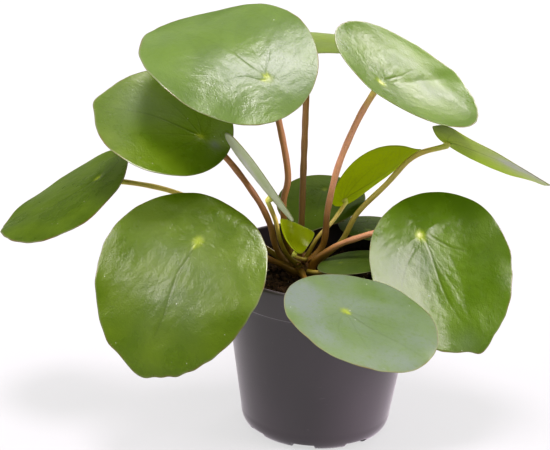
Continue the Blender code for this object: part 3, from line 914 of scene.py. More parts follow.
    def relief(self, flat: np.ndarray, reach: np.ndarray, vein: np.ndarray, gap: np.ndarray) -> np.ndarray:
        """Height of the upper face over the smooth bent sheet.

        It is the puckers, which bulge where no vein is near, less the furrows, the sunk veins and the
        dimple over the hub, with long waves that grow to the margin. To it come the slopes on both sides
        of the midrib, which level out away from it, and the leaf's broad bulges.

        Args:
            flat: Flat points.
            reach: Share of the way from the hub to the margin.
            vein: Nearness to the veins.
            gap: Distance to the nearest vein.

        Returns:
            Heights in millimetres.
        """
        leaf = self.leaf
        from_hub = np.linalg.norm(flat, axis=-1)
        between_veins = (1 - bell(gap, self.vein_reach)) * (1 - bell(from_hub, self.hub_reach))
        between_veins = between_veins * (1 - reach ** 4)
        uneven = 0.75 + 0.5 * frozen_waves(flat, self.pucker_wave, self.seed + 1)
        height = self.pucker_height * leaf.pucker * between_veins * uneven
        long_swell = self.long_swell * frozen_waves(flat, self.long_wave, self.seed + 2, 14)
        short_swell = self.short_swell * frozen_waves(flat, self.short_wave, self.seed + 6, 14)
        height += leaf.pucker * (long_swell + short_swell) * (1 - 0.6 * reach)
        wander = np.stack([frozen_waves(flat, self.wander_wave, self.seed + 7),
                           frozen_waves(flat, self.wander_wave, self.seed + 8)], -1)
        furrow = bell(frozen_waves(flat + 1.5 * wander, self.crinkle_wave, self.seed + 9, 16), 0.35)
        height -= self.crinkle * leaf.pucker * furrow * (1 - 0.7 * reach)
        height -= self.vein_depth * vein
        height -= self.dimple * bell(from_hub, self.dimple_reach)
        waves = frozen_waves(flat, self.margin_wave, self.seed + 3)
        height += self.margin_height * leaf.ripple * reach ** 3 * waves
        beside = np.sqrt(flat[..., 1] ** 2 + 1.5) - math.sqrt(1.5)
        slope = np.tan(np.radians(np.where(flat[..., 1] > 0, leaf.left_rise, leaf.right_rise)))
        fold = slope * self.slope_reach * (1 - np.exp(-beside / self.slope_reach))
        return height * leaf.length / 100 + fold * (1 - reach ** 4) + leaf.bulge(flat)

    def blemishes(self, flat: np.ndarray) -> np.ndarray:
        """The leaf's round marks and a few more at seeded places, as nearness to the closest one's ring.

        Args:
            flat: Flat points.

        Returns:
            Nearness, which is strongest on a mark's ring.
        """
        leaf = self.leaf
        draw = np.random.default_rng(self.seed + 4)
        marks = np.zeros(flat.shape[:2])
        strewn = draw.uniform(-0.32, 0.32, (3, 2)) * (leaf.length, leaf.width) + (0.2 * leaf.length, 0)
        for along, across, size in (*leaf.marks, *((*spot, 0.8) for spot in strewn)):
            distance = np.linalg.norm(flat - (along, across), axis=-1)
            marks = np.maximum(marks, 0.5 * bell(distance, size) + 0.6 * bell(distance - size, 0.45))
        return marks

    def wax_and_sheen(self, flat: np.ndarray) -> np.ndarray:
        """Share of pale cover, partly dull bloom and partly painted sheen: an even share and a bell for each
        patch, all patchy.

        Args:
            flat: Flat points.

        Returns:
            Shares from 0 to 1.
        """
        patchy = 0.8 + 0.2 * frozen_waves(flat, self.wax_wave, self.seed + 6)
        haze_and_sheen = self.leaf.haze_and_sheen * patchy
        for along, across, size, share in self.leaf.sheen_blooms:
            haze_and_sheen = haze_and_sheen + share * patchy * bell(np.linalg.norm(flat - (along, across), axis=-1), size)
        return np.clip(haze_and_sheen, 0, 1)

    def build(self, finish: bpy.types.Material) -> bpy.types.Object:
        """Makes the blade: upper rings from the hub out, a round margin, and lower rings back to the hub.

        Args:
            finish: The blade's material.

        Returns:
            The blade, standing for its CAD node.
        """
        leaf = self.leaf
        angle = np.linspace(0, 2 * np.pi, self.spokes, endpoint=False)
        reach = np.linspace(0, 1, self.rings + 1)[1:, None] ** 0.9 * np.ones(self.spokes)
        flat = reach[..., None] * self.outline(angle)
        sheet = self.bent(flat)
        outwards = np.gradient(sheet, axis=0)
        around = np.roll(sheet, -1, 1) - np.roll(sheet, 1, 1)
        normal = np.cross(outwards, around)
        normal /= np.linalg.norm(normal, axis=-1, keepdims=True)
        vein, gap = self.vein_field(flat)
        height = self.relief(flat, reach, vein, gap)
        from_hub = np.linalg.norm(flat, axis=-1)
        scale = leaf.length / 100
        boss = self.hub_boss * bell(from_hub, self.boss_reach)
        half = self.middle_thickness + (self.edge_thickness - self.middle_thickness) * reach ** 2
        half = half * (0.6 + 0.4 * scale) / 2
        upper = sheet + normal * (height + half)[..., None]
        rib = 0.9 * self.vein_depth * vein * scale + boss * scale
        lower = sheet + normal * (height - half - rib)[..., None]
        rim_out = outwards[-1] / np.linalg.norm(outwards[-1], axis=-1, keepdims=True)
        round_off = np.radians([45, 90, 135])[:, None, None]
        middle = sheet[-1] + normal[-1] * height[-1][:, None]
        rim = middle + half[-1][:, None] * (rim_out * np.sin(round_off) + normal[-1] * np.cos(round_off))
        rows = np.concatenate([upper, rim, lower[::-1]])
        place = (rows @ leaf_axes(leaf).T + np.array(leaf.hub)) * MM

        def on_rows(field: np.ndarray) -> np.ndarray:
            """Repeats a field of the sheet on the upper rings, the margin and the lower rings."""
            return np.concatenate([field, np.repeat(field[-1:], 3, 0), field[::-1]])

        inner = (1 - reach) * (from_hub / np.maximum(reach, 0.01))
        rays = np.stack([6 * np.cos(angle) * np.ones_like(reach), 6 * np.sin(angle) * np.ones_like(reach),
                         2.2 * reach + self.seed], -1)
        turning = np.array([[0.2], [0.5], [0.8]]) * np.ones(self.spokes)
        side = np.concatenate([0 * reach, turning, 0 * reach + 1])
        values = {
            "vein": on_rows(vein),
            "near_hub": on_rows(leaf.hub_light * bell(from_hub, self.hub_glow * scale)),
            "margin": on_rows(bell(inner, self.margin_width)),
            "blemish": on_rows(self.blemishes(flat)),
            # share of the pale cover that paints sheen and dull bloom
            "haze_and_sheen": on_rows(self.wax_and_sheen(flat)),
            "beneath": side,
            "rays": on_rows(rays),
        }
        return make_piece(f"{leaf.name}_leaf_blade", [Skin(place)], finish, leaf.tone.slot(),
                          (f"{leaf.name}_blade",), {key: [value] for key, value in values.items()})


def smooth_course(points: np.ndarray, spacing: float) -> np.ndarray:
    """Points at even steps along the smooth curve through the given ones.

    Between two points the curve is the cubic whose slope at each is half the step between its neighbours.

    Args:
        points: Points to pass through.
        spacing: About how far apart the new points lie.

    Returns:
        The new points.
    """
    ends = np.vstack([2 * points[0] - points[1], points, 2 * points[-1] - points[-2]])
    before, start, end, after = ends[:-3, None], ends[1:-2, None], ends[2:-1, None], ends[3:, None]
    t = np.linspace(0, 1, 24, endpoint=False)[:, None]
    fine = 0.5 * (2 * start + (end - before) * t + (2 * before - 5 * start + 4 * end - after) * t ** 2
                  + (3 * start - before - 3 * end + after) * t ** 3)
    fine = np.vstack([fine.reshape(-1, 3), points[-1]])
    run = np.concatenate([[0], np.cumsum(np.linalg.norm(np.diff(fine, axis=0), axis=1))])
    stops = np.linspace(0, run[-1], max(6, round(run[-1] / spacing)))
    return np.stack([np.interp(stops, run, fine[:, axis]) for axis in range(3)], 1)


def tube(course: np.ndarray, radius: np.ndarray, sides: int) -> Skin:
    """A round skin about a course.

    Each ring lies square to the course. One side of it follows the level direction that is square to the
    whole course, so that the rings don't turn on their way.

    Args:
        course: Points from one end to the other.
        radius: The skin's radius at each point, or at each point and side.
        sides: Points in a ring.

    Returns:
        The skin, from the first end to the last.
    """
    ahead = np.gradient(course, axis=0)
    ahead /= np.linalg.norm(ahead, axis=1, keepdims=True)
    level = np.cross(course[-1] - course[0], (0, 0, 1))
    if np.linalg.norm(level) < 1e-6:
        level = np.array([1.0, 0, 0])
    first = level - (ahead @ level)[:, None] * ahead
    first /= np.linalg.norm(first, axis=1, keepdims=True)
    second = np.cross(ahead, first)
    angle = -np.linspace(0, 2 * np.pi, sides, endpoint=False)[:, None]
    ring = first[:, None] * np.cos(angle) + second[:, None] * np.sin(angle)
    reach = radius[:, None, None] if radius.ndim == 1 else radius[..., None]
    return Skin(course[:, None] + reach * ring)


@dataclass
class Stalk:
    """The stalk of a leaf: it leaves the stem, thickest at its root, and flares under the blade's hub."""

    leaf: Leaf
    seed: int
    step: float = 1.1 * MM
    sides: int = 24
    neck: float = 2.2 * MM
    root_swell: float = 0.6
    root_reach: float = 9 * MM
    flare: float = 0.55
    flare_reach: float = 2.2 * MM
    sink: float = 1.5 * MM
    under: float = 1.1
    unevenness: float = 0.05
    rib: float = 0.02
    fine_rib: float = 0.012

    def course(self) -> np.ndarray:
        """From inside the stem, past the stalk's own points, and square up to the blade's underside.

        Returns:
            Points along the stalk's middle.
        """
        leaf = self.leaf
        angle = math.radians(leaf.root[0])
        out = np.array([math.cos(angle), math.sin(angle), 0])
        root = np.array(Rootstock.centre) + leaf.tier * MM * out + (0, 0, leaf.root[1] * MM)
        normal = leaf_axes(leaf)[:, 2]
        end = np.array(leaf.hub) * MM + (leaf.hub_rise() - self.under) * MM * normal
        via = np.array(leaf.via) * MM
        inside = root - self.sink * (out + (0, 0, 0.6))
        free = smooth_course(np.vstack([inside, root, via, end - self.neck * normal]), self.step)
        return np.vstack([free, end - 0.5 * self.neck * normal, end])

    def build(self, finish: bpy.types.Material) -> bpy.types.Object:
        """Makes the stalk.

        Its radius is the stalk's own, swollen by bells at the root and under the blade, with long low
        ribs and a slight unevenness.

        Args:
            finish: The stalk's material.

        Returns:
            The stalk, standing for its CAD node.
        """
        leaf = self.leaf
        course = self.course()
        run = np.concatenate([[0], np.cumsum(np.linalg.norm(np.diff(course, axis=0), axis=1))])
        to_end = run[-1] - run
        root = self.root_swell * bell(run, self.root_reach)
        swell = 1 + root + self.flare * bell(to_end, self.flare_reach)
        swell *= 1 + self.unevenness * frozen_waves(run[:, None], 16 * MM, self.seed)
        angle = np.linspace(0, 2 * np.pi, self.sides, endpoint=False)
        ribs = 1 + self.rib * np.cos(5 * angle + self.seed) + self.fine_rib * np.cos(9 * angle)
        radius = leaf.stalk / 2 * MM * swell[:, None] * ribs
        skin = tube(course, radius, self.sides)
        along = np.broadcast_to((run / run[-1])[:, None], radius.shape)
        grain = np.stack([3 * np.cos(angle) * np.ones_like(radius), 3 * np.sin(angle) * np.ones_like(radius),
                          np.broadcast_to(run[:, None] / (9 * MM) + self.seed, radius.shape)], -1)
        return make_piece(f"{leaf.name}_leaf_stalk", [skin], finish, leaf.stalk_tone.slot(),
                          (f"{leaf.name}_stalk",), {"up": [along], "grain": [grain]})


def turned(profile: np.ndarray, sides: int, centre: np.ndarray) -> np.ndarray:
    """Turns a profile about an upright line.

    Args:
        profile: Pairs of radius and height.
        sides: Points in a ring.
        centre: A point on the upright line.

    Returns:
        One ring of points for each pair.
    """
    angle = np.linspace(0, 2 * np.pi, sides, endpoint=False)
    ring = np.stack([np.cos(angle), np.sin(angle), np.zeros(sides)], -1)
    rows = profile[:, None, :1] * ring
    rows[..., 2] = profile[:, 1:]
    return rows + centre


@dataclass
class Rootstock:
    """The short woody stem that all stalks leave, rough as bark, with dry scales between the stalks."""

    centre: tuple[float, float, float] = (-12 * MM, 5 * MM, 0.0)
    bottom: float = 74 * MM
    shoulder: float = 95 * MM
    dome: float = 6 * MM
    radius: float = 8.5 * MM
    sides: int = 96
    scales: int = 12

    def stem(self) -> Skin:
        """The knob: a dome over a side that narrows by the cube of the depth, roughened by waves.

        Returns:
            The knob's skin.
        """
        turn = np.linspace(0.04, 1, 26) * np.pi / 2
        dome = np.stack([self.radius * np.sin(turn), self.shoulder + self.dome * np.cos(turn)], -1)
        down = np.linspace(self.shoulder, self.bottom, 34)[1:]
        depth = (self.shoulder - down) / (self.shoulder - self.bottom)
        side = np.stack([self.radius * (1 - 0.25 * depth ** 3), down], -1)
        foot = np.array([[0.5 * self.radius, self.bottom]])
        rows = turned(np.vstack([dome, side, foot]), self.sides, np.array(self.centre))
        outward = rows - np.array(self.centre) - (0, 0, self.shoulder - 4 * MM)
        outward /= np.linalg.norm(outward, axis=-1, keepdims=True)
        rough = 0.35 * frozen_waves(rows, 5 * MM, 3) + 0.2 * frozen_waves(rows, 1.8 * MM, 4)
        return Skin(rows + outward * (rough * MM)[..., None])

    def scale(self, index: int, draw: np.random.Generator) -> Skin:
        """One dry papery scale: a thin pointed tongue that bends outwards from between the stalks.

        Its half width is a half sine over its length, and its two faces lie a quarter of a millimetre apart.

        Args:
            index: Its place in the row, which turns it round the stem.
            draw: Random numbers.

        Returns:
            The scale's skin.
        """
        turn = index * 2.4 + draw.uniform(-0.3, 0.3)
        lean = draw.uniform(0.1, 0.7)
        length, width = draw.uniform(4, 8.5) * MM, draw.uniform(1.2, 2.2) * MM
        out = np.array([math.cos(turn), math.sin(turn), 0])
        across = np.array([-math.sin(turn), math.cos(turn), 0])
        t = np.linspace(0.02, 0.98, 14)
        bend = lean * t + 0.5 * t ** 2
        start = np.array(self.centre) + out * draw.uniform(3.5, 6.8) * MM
        start[2] += draw.uniform(97, 100) * MM
        rise = np.stack([np.cos(bend), np.sin(bend)], -1)
        spine = start + length * t[:, None] * (rise[:, :1] * (0, 0, 1) + rise[:, 1:] * out)
        angle = -np.linspace(0, 2 * np.pi, 12, endpoint=False)
        wide = width * np.sin(np.pi * np.clip(t, 0.05, 1) ** 0.7)
        face = np.cross(across, (0, 0, 1))
        ring = wide[:, None, None] * np.cos(angle)[:, None] * across
        curl = -0.5 * wide[:, None, None] * (np.cos(angle)[:, None] ** 2) * face
        return Skin((spine[:, None] + ring + curl + 0.12 * MM * np.sin(angle)[:, None] * face)[:, ::-1])

    def build(self, bark: bpy.types.Material, paper: bpy.types.Material) -> None:
        """Makes the stem and its dry scales.

        Args:
            bark: The stem's material.
            paper: The scales' material.
        """
        make_piece("rootstock_stem", [self.stem()], bark, "stem_bark", ("stem",))
        draw = np.random.default_rng(21)
        scales = [self.scale(index, draw) for index in range(self.scales)]
        make_piece("rootstock_dry_scales", scales, paper, "stem_bark")


@dataclass
class PottingMix:
    """The potting soil: a lumpy bed with loose crumbs, a few pale grains and thin root fibres on it."""

    level: float = 92 * MM
    radius: float = 54.9 * MM
    floor: float = 3.6 * MM
    foot: float = 37 * MM
    corner: float = 10 * MM
    corner_radius: float = 42.6 * MM
    rings: int = 56
    sides: int = 180
    crumbs: int = 900
    grains: int = 70
    fibres: int = 60
    stem_room: float = 9 * MM
    fibre_spread: float = 50 * MM
    fibre_limit: float = 53.5 * MM

    def top(self, x: np.ndarray, y: np.ndarray) -> np.ndarray:
        """Height of the bed: slow waves and smaller lumps, heaped a little against the stem.

        Args:
            x: Places to the photograph's right.
            y: Places away from its viewer.

        Returns:
            Heights in metres.
        """
        wide, deep = x / MM, y / MM
        lumps = np.sin(0.31 * wide + 1.3) * np.sin(0.27 * deep - 0.6)
        lumps = lumps + 0.6 * np.sin(0.53 * wide - 0.47 * deep)
        place = np.stack([x, y], -1)
        fine = 0.55 * frozen_waves(place, 7 * MM, 11, 14) + 0.35 * frozen_waves(place, 3 * MM, 12, 14)
        heap = bell(np.hypot(x - Rootstock.centre[0], y - Rootstock.centre[1]), 16 * MM)
        return self.level + MM * (0.9 * (0.5 * lumps - 0.6) + fine + 1.2 * heap)

    def bed(self) -> Skin:
        """The soil's body, from the middle of its top out to the pot's wall and down to its floor.

        Returns:
            The body's skin.
        """
        spread = np.linspace(0.01, 1, self.rings) * self.radius
        profile = np.stack([spread, np.full(self.rings, self.level)], -1)
        wall = [[self.radius - 0.4 * MM, self.level - 3 * MM], [self.corner_radius, self.corner],
                [self.foot, self.floor], [0.5 * self.foot, self.floor]]
        rows = turned(np.vstack([profile, wall]), self.sides, np.zeros(3))
        top = rows[:self.rings]
        top[..., 2] = self.top(top[..., 0], top[..., 1])
        return Skin(rows)

    def lump(self, centre: np.ndarray, size: float, draw: np.random.Generator) -> Skin:
        """A small rounded lump of uneven width, flattened at random and turned at random.

        Args:
            centre: Its middle.
            size: Its radius.
            draw: Random numbers.

        Returns:
            The lump's skin.
        """
        turn = np.linspace(0.25, np.pi - 0.25, 5)
        profile = np.stack([np.sin(turn), np.cos(turn)], -1)
        rows = turned(profile, 8, np.zeros(3)) * draw.uniform(0.6, 1.1, 3)
        rows *= 1 + 0.28 * draw.normal(size=rows.shape[:2])[..., None].clip(-1, 1)
        spin = np.array(Matrix.Rotation(draw.uniform(0, 6.3), 3, Vector(draw.normal(size=3))))
        return Skin(rows @ spin.T * size + centre)

    def strewn(self, count: int, low: float, high: float, raised: float, seed: int) -> list[Skin]:
        """Lumps strewn over the bed.

        Args:
            count: How many.
            low: Smallest radius.
            high: Largest radius.
            raised: Share of its radius that a lump's middle lies over the bed.
            seed: Number that settles their places.

        Returns:
            One skin for each lump.
        """
        draw = np.random.default_rng(seed)
        lumps = []
        while len(lumps) < count:
            distance = (self.radius - 1.5 * high) * math.sqrt(draw.uniform(0, 1))
            turn = draw.uniform(0, 2 * math.pi)
            x, y = distance * math.cos(turn), distance * math.sin(turn)
            size = low + (high - low) * draw.uniform(0, 1) ** 2.5
            if math.hypot(x - Rootstock.centre[0], y - Rootstock.centre[1]) < self.stem_room:
                continue
            height = float(self.top(np.array(x), np.array(y))) + raised * size
            lumps.append(self.lump(np.array([x, y, height]), size, draw))
        return lumps

    def fibre(self, draw: np.random.Generator) -> Skin:
        """A thin curved root fibre that lies on the bed and dips into it at both ends.

        Args:
            draw: Random numbers.

        Returns:
            The fibre's skin.
        """
        distance = self.fibre_spread * math.sqrt(draw.uniform(0.05, 1))
        turn = draw.uniform(0, 2 * math.pi)
        heading = draw.uniform(0, 2 * math.pi) + draw.uniform(-1.4, 1.4) * np.linspace(0, 1, 9)
        length = draw.uniform(4, 11) * MM / 8
        walk = np.cumsum(np.stack([np.cos(heading), np.sin(heading)], -1) * length, 0)
        x = distance * math.cos(turn) + walk[:, 0] - walk[4, 0]
        y = distance * math.sin(turn) + walk[:, 1] - walk[4, 1]
        inside = np.minimum(1, self.fibre_limit / np.hypot(x, y))
        x, y = x * inside, y * inside
        arch = np.sin(np.linspace(0, np.pi, 9))
        course = np.stack([x, y, self.top(x, y) + (arch - 0.3) * MM], -1)
        return tube(course, np.full(9, draw.uniform(0.12, 0.24) * MM), 6)

    def build(self, soil: bpy.types.Material, perlite: bpy.types.Material, root: bpy.types.Material) -> None:
        """Makes the bed and what lies on it.

        Args:
            soil: The bed's and the crumbs' material.
            perlite: The pale grains' material.
            root: The fibres' material.
        """
        make_piece("potting_mix_bed", [self.bed()], soil, "potting_soil", ("soil",))
        crumbs = self.strewn(self.crumbs, 0.5 * MM, 2.6 * MM, 0.35, 31)
        make_piece("potting_mix_crumbs", crumbs, soil, "potting_soil")
        grains = self.strewn(self.grains, 0.4 * MM, 1.2 * MM, 0.6, 32)
        make_piece("potting_mix_pale_grains", grains, perlite, "potting_soil")
        draw = np.random.default_rng(33)
        fibres = [self.fibre(draw) for _ in range(self.fibres)]
        make_piece("potting_mix_fibres", fibres, root, "potting_soil")


@dataclass
class NurseryPot:
    """The turned plastic pot: a thin shell with a proud band, a round lip, and channels between its feet."""

    height: float = 104 * MM
    rim: float = 60 * MM
    base_radius: float = 42.7 * MM
    slope: float = 0.155
    wall: float = 1.2 * MM
    floor: float = 3.2 * MM
    foot: float = 37.5 * MM
    corner: float = 10 * MM
    band: float = 18 * MM
    band_step: float = 1.2 * MM
    lip: float = 2.4 * MM
    sides: int = 288
    channels: int = 8
    channel_width: float = 20
    channel_turn: float = 35
    channel_depth: float = 2 * MM
    channel_start: float = 20 * MM
    channel_mouth: float = 0.8
    hole: float = 3 * MM
    hole_ring: float = 29 * MM
    corner_steps: int = 14
    base_steps: int = 30

    def outer(self, height: float) -> float:
        """Outer radius of the plain wall at a height."""
        return self.base_radius + self.slope * height

    def profile(self) -> np.ndarray:
        """Radius and height of the pot's wall as one line.

        It runs from the middle of the inner floor up the inside, over the lip and down the outside to the
        middle of the underside.

        Returns:
            Pairs of radius and height.
        """
        inner_foot = self.foot - 0.5 * MM
        lip_inner = self.rim - self.lip
        band_bottom = self.height - self.band
        inside = [(radius, self.floor) for radius in np.linspace(1 * MM, inner_foot, 16)]
        inside += [(self.outer(self.corner) - self.wall, self.corner)]
        inside += [(self.outer(z) - self.wall, z) for z in np.linspace(14 * MM, 90 * MM, 8)]
        inside += [(lip_inner - 0.15 * MM, self.height - 5 * MM), (lip_inner, self.height - 1.3 * MM)]
        lip_middle, lip_top = self.rim - self.lip / 2, self.height - 1.0 * MM
        lip = [(lip_middle + self.lip / 2 * math.cos(a), lip_top + 1.0 * MM * math.sin(a))
               for a in np.linspace(np.pi, 0, 9)]
        low_band = self.outer(band_bottom) + self.band_step
        band_top, band_run = self.height - 1.6 * MM, self.band - 2.6 * MM
        outside = [(self.rim + (low_band - self.rim) * share, band_top - share * band_run)
                   for share in np.linspace(0, 1, 12)]
        under_band = self.outer(band_bottom)
        outside += [(low_band - 0.1 * MM, band_bottom + 0.55 * MM),
                    (low_band - 0.4 * MM, band_bottom + 0.2 * MM),
                    (under_band + 0.35 * MM, band_bottom), (under_band + 0.05 * MM, band_bottom - 0.4 * MM)]
        down = np.linspace(band_bottom - 1.5 * MM, self.corner + 1 * MM, 40)
        outside += [(self.outer(z), z) for z in down]
        sweep = self.outer(self.corner) - self.foot
        outside += [(self.foot + sweep * math.sin(a), self.corner * (1 - math.cos(a)))
                    for a in np.linspace(np.pi / 2, 0, self.corner_steps)]
        outside += [(radius, 0) for radius in np.linspace(self.foot - 1 * MM, 1 * MM, self.base_steps)]
        return np.array(inside + lip + outside)

    def shell(self) -> Skin:
        """The turned profile with its channels.

        Each channel lifts the underside by its depth, with soft sides, where the radius is past its start
        and the direction lies within its width. At its mouth, past the foot, channel_mouth of the depth
        is added. Low rings on the underside are a tenth of a millimetre high.

        Returns:
            The pot's skin, before its holes are drilled.
        """
        rows = turned(self.profile(), self.sides, np.zeros(3))
        radius = np.hypot(rows[..., 0], rows[..., 1])
        angle = np.arctan2(rows[..., 1], rows[..., 0])
        pitch = 2 * np.pi / self.channels
        from_channel = np.abs((angle - math.radians(self.channel_turn) + pitch / 2) % pitch - pitch / 2)
        half = math.radians(self.channel_width) / 2
        soft = 0.8 * MM
        across = np.clip((half - from_channel) * radius / soft, 0, 1)
        along = np.clip((radius - self.channel_start) / soft, 0, 1)
        first_outer = len(rows) - self.corner_steps - self.base_steps
        mouth = np.clip((radius / self.foot - 0.98) / 0.06, 0, 1)
        depth = self.channel_depth * (1 + self.channel_mouth * mouth)
        lifted = (np.arange(len(rows)) >= first_outer)[:, None] & (rows[..., 2] < depth)
        raised = across * along * (depth - rows[..., 2])
        rings = 0.1 * MM * (np.cos(radius / MM * 1.2) > 0.75) * (radius < self.channel_start)
        rows[..., 2] += np.where(lifted, raised + rings, 0)
        return Skin(rows)

    def drill(self) -> bpy.types.Object:
        """Upright rods, one in each channel, that cut the drain holes.

        Returns:
            One object with all rods, in no collection yet.
        """
        angle = math.radians(self.channel_turn) + 2 * np.pi * np.arange(self.channels) / self.channels
        profile = np.array([[0.3, 3], [1, 3], [1, -1], [0.3, -1]]) * (self.hole, self.floor * 1.5)
        spots = np.stack([np.cos(angle), np.sin(angle), np.zeros(self.channels)], -1) * self.hole_ring
        rods = [Skin(turned(profile, 24, spot)) for spot in spots]
        places = np.vstack([rod.points() for rod in rods])
        faces = []
        for index, rod in enumerate(rods):
            corners, sizes = rod.faces()
            corners = corners + index * len(rod.points())
            faces += [part.tolist() for part in np.split(corners, np.cumsum(sizes)[:-1])]
        mesh = bpy.data.meshes.new("drill")
        mesh.from_pydata(places.tolist(), [], faces)
        return bpy.data.objects.new("drill", mesh)

    def build(self, finish: bpy.types.Material) -> None:
        """Makes the pot and drills its drain holes.

        Args:
            finish: The pot's material.
        """
        pot = make_piece("nursery_pot_shell", [self.shell()], finish, "pot_plastic", ("pot",))
        drill = self.drill()
        bpy.context.scene.collection.objects.link(drill)
        cut = pot.modifiers.new("drain_holes", "BOOLEAN")
        cut.operation = "DIFFERENCE"
        cut.object = drill
        drilled = bpy.data.meshes.new_from_object(pot.evaluated_get(bpy.context.evaluated_depsgraph_get()))
        pot.modifiers.clear()
        pot.data = drilled
        bpy.data.objects.remove(drill)
        pot.data.set_sharp_from_angle(angle=math.radians(50))


@dataclass(frozen=True)
class SoftLight:
    """A distant soft light: a bright disc in the sky. Azimuth 0 is over the camera and 90 at the right."""

    name: str
    azimuth: float
    elevation: float
    spread: float
    strength: float
    colour: Colour = (1.0, 1.0, 1.0)

    def build(self) -> None:
        """Hangs the light so that it shines on the plant from its place in the sky."""
        lamp = bpy.data.lights.new(self.name, "SUN")
        lamp.energy = self.strength
        lamp.angle = math.radians(self.spread)
        lamp.color = self.colour
        light = bpy.data.objects.new(self.name, lamp)
        azimuth, elevation = math.radians(self.azimuth), math.radians(self.elevation)
        towards = Vector((math.sin(azimuth) * math.cos(elevation), -math.cos(azimuth) * math.cos(elevation),
                          math.sin(elevation)))
        light.rotation_mode = "QUATERNION"
        light.rotation_quaternion = towards.to_track_quat("Z", "Y")
        bpy.context.scene.collection.objects.link(light)


@dataclass
class Studio:
    """The pale floor, the lights and the camera that looks down at the plant as the photograph does."""

    distance: float = 1.3
    elevation: float = 21.2
    roll: float = 2.25
    aim: tuple = (-0.0283, 0.0, 0.1235)
    focal_pixels: float = 2247
    photo_width: float = 550
    sensor: float = 36
    floor_reach: float = 12
    floor_drop: float = 0.2 * MM
    floor_colour: Colour = (0.12, 0.12, 0.12)
    floor_glow: float = 0.46
    sky_low: float = 0.40
    sky_high: float = 0.20

    def camera(self) -> None:
        """Sets the camera at its distance and elevation, rolled a little, with no shift."""
        lens = bpy.data.cameras.new("camera")
        lens.sensor_width = self.sensor
        lens.lens = self.sensor * self.focal_pixels / self.photo_width
        lens.clip_end = 50
        eye = bpy.data.objects.new("camera", lens)
        elevation, roll = math.radians(self.elevation), math.radians(self.roll)
        back = Vector((0, -math.cos(elevation), math.sin(elevation)))
        level = Vector((1, 0, 0))
        up = back.cross(level)
        right = math.cos(roll) * level + math.sin(roll) * up
        above = -math.sin(roll) * level + math.cos(roll) * up
        turned_to = Matrix((right, above, back)).transposed().to_4x4()
        eye.matrix_world = Matrix.Translation(Vector(self.aim) + self.distance * back) @ turned_to
        bpy.context.scene.collection.objects.link(eye)
        bpy.context.scene.camera = eye

    def floor(self) -> None:
        """Lays the pale floor just under the pot's feet."""
        reach = self.floor_reach
        corners = [(-reach, -reach), (reach, -reach), (reach, reach), (-reach, reach)]
        mesh = bpy.data.meshes.new("floor")
        mesh.from_pydata([(x, y, -self.floor_drop) for x, y in corners], [], [(0, 1, 2, 3)])
        shader = Shader("floor")
        paper = shader.add("BsdfPrincipled", {
            "Base Color": self.floor_colour, "Roughness": 0.9, "Specular IOR Level": 0.1,
            "Emission Color": (1.0, 1.0, 1.0), "Emission Strength": self.floor_glow})
        mesh.materials.append(shader.finish(paper.outputs[0]))
        sheet = bpy.data.objects.new("floor", mesh)
        bpy.context.scene.collection.objects.link(sheet)

    def sky(self) -> None:
        """Wraps the studio in a dim even sky that is paler down at the horizon."""
        world = bpy.data.worlds.new("sky")
        world.use_nodes = True
        nodes, links = world.node_tree.nodes, world.node_tree.links
        towards = nodes.new("ShaderNodeTexCoord")
        parts = nodes.new("ShaderNodeSeparateXYZ")
        fade = nodes.new("ShaderNodeMapRange")
        fade.interpolation_type = "SMOOTHSTEP"
        for socket, value in zip(fade.inputs[1:5], (0.10, 0.45, self.sky_low, self.sky_high)):
            socket.default_value = value
        links.new(towards.outputs["Generated"], parts.inputs[0])
        links.new(parts.outputs["Z"], fade.inputs["Value"])
        links.new(fade.outputs["Result"], nodes["Background"].inputs["Strength"])
        nodes["Background"].inputs["Color"].default_value = (1, 1, 1, 1)
        bpy.context.scene.world = world

    def build(self, lights: tuple[SoftLight, ...]) -> None:
        """Makes the camera, the floor, the sky and the lights.

        Args:
            lights: The distant soft lights.
        """
        self.camera()
        self.floor()
        self.sky()
        bpy.context.scene.view_settings.view_transform = "Standard"
        bpy.context.scene.view_settings.look = "High Contrast"
        for light in lights:
            light.build()


LIGHTS = (
    SoftLight("top_light", 6, 85, 18, 2.4, (1.0, 0.91, 1.0)),
    SoftLight("right_light", 84, 21, 38, 3.2, (1.0, 0.87, 1.0)),
    SoftLight("back_light", 150, 28, 18, 0.65, (1.0, 0.88, 1.0)),
    SoftLight("high_back_light", 180, 58, 70, 1.0, (1.0, 0.96, 0.98)),
    SoftLight("left_light", -78, 36, 34, 2.0, (1.0, 0.88, 1.0)),
    SoftLight("front_fill", 5, 52, 60, 0.8),
)

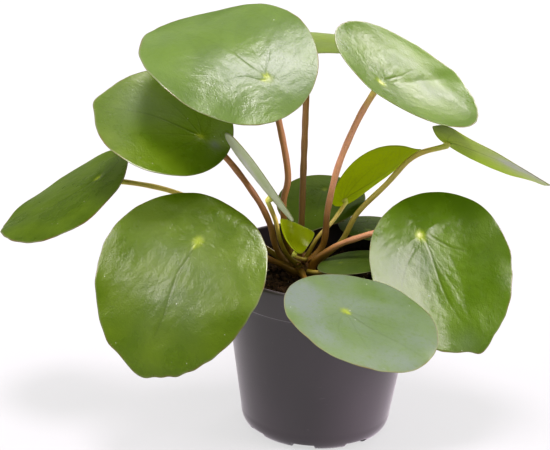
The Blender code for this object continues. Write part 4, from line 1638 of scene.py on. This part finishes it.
LEAF_FINISHES = (
    LeafFinish(LeafTone.GREEN, (0.066, 0.112, 0.001), (0.099, 0.162, 0.003), (0.24, 0.32, 0.06),
               (0.56, 0.78, 0.004), thinness=0.32),
    LeafFinish(LeafTone.WARM, (0.070, 0.111, 0.001), (0.108, 0.157, 0.003), (0.24, 0.32, 0.06),
               (0.58, 0.76, 0.004), thinness=0.32),
    LeafFinish(LeafTone.DARK, (0.058, 0.097, 0.003), (0.090, 0.140, 0.006), (0.20, 0.26, 0.12),
               (0.30, 0.40, 0.006), gloss=0.15),
    # brighter copy of the common green, with paler beneath and through colours, painting backlit glow and
    # grazing sheen on two leaves
    LeafFinish(LeafTone.PAINTED_GLOW_GREEN, (0.095, 0.140, 0.001), (0.145, 0.200, 0.003), (0.38, 0.42, 0.14),
               (0.72, 0.88, 0.10), haze_and_sheen=(0.19, 0.24, 0.12), thinness=0.4),
    LeafFinish(LeafTone.YOUNG, (0.190, 0.230, 0.001), (0.290, 0.340, 0.004), (0.34, 0.39, 0.02),
               (0.84, 0.94, 0.003), thinness=0.55, gloss=0.25),
)

STALK_FINISHES = (
    StalkFinish(StalkTone.BROWN, (0.180, 0.115, 0.020), (0.450, 0.245, 0.130), (0.54, 0.47, 0.12)),
    # darker copy of the common brown, painting shade on the stalk at the back
    StalkFinish(StalkTone.PAINTED_SHADE_BROWN, (0.150, 0.095, 0.018), (0.220, 0.130, 0.050), (0.38, 0.34, 0.09)),
    StalkFinish(StalkTone.RED_BROWN, (0.190, 0.110, 0.018), (0.680, 0.380, 0.250), (0.64, 0.54, 0.18)),
    StalkFinish(StalkTone.OLIVE, (0.230, 0.180, 0.024), (0.580, 0.480, 0.160), (0.58, 0.60, 0.17)),
)


def main() -> None:
    """Builds the studio, the pot, the soil, the stem and every leaf."""
    logging.basicConfig(level=logging.INFO, format="%(name)s: %(message)s")
    Studio().build(LIGHTS)
    NurseryPot().build(PotFinish().material())
    soil = EarthFinish("potting_soil", (0.024, 0.015, 0.006), (0.130, 0.076, 0.034), 1600, 0.5 * MM)
    perlite = EarthFinish("perlite", (0.30, 0.26, 0.21), (0.50, 0.46, 0.40), 2500, 0.2 * MM)
    root = EarthFinish("root_fibre", (0.09, 0.05, 0.03), (0.22, 0.14, 0.08), 2500, 0.1 * MM)
    bark = EarthFinish("stem_bark", (0.085, 0.052, 0.018), (0.260, 0.160, 0.060), 900, 0.4 * MM, 0.75)
    paper = EarthFinish("dry_scale", (0.16, 0.07, 0.03), (0.40, 0.26, 0.16), 1200, 0.1 * MM, 0.7)
    PottingMix().build(soil.material(), perlite.material(), root.material())
    Rootstock().build(bark.material(), paper.material())
    greens = {finish.tone: finish.material() for finish in LEAF_FINISHES}
    browns = {finish.tone: finish.material() for finish in STALK_FINISHES}
    for index, leaf in enumerate(LEAVES):
        seed = 100 + 10 * index
        Stalk(leaf, seed).build(browns[leaf.stalk_tone])
        blade = Blade(leaf, seed, spokes=128, rings=32) if leaf.length < SMALL_LEAF else Blade(leaf, seed)
        blade.build(greens[leaf.tone])


if __name__ == "__main__":
    main()
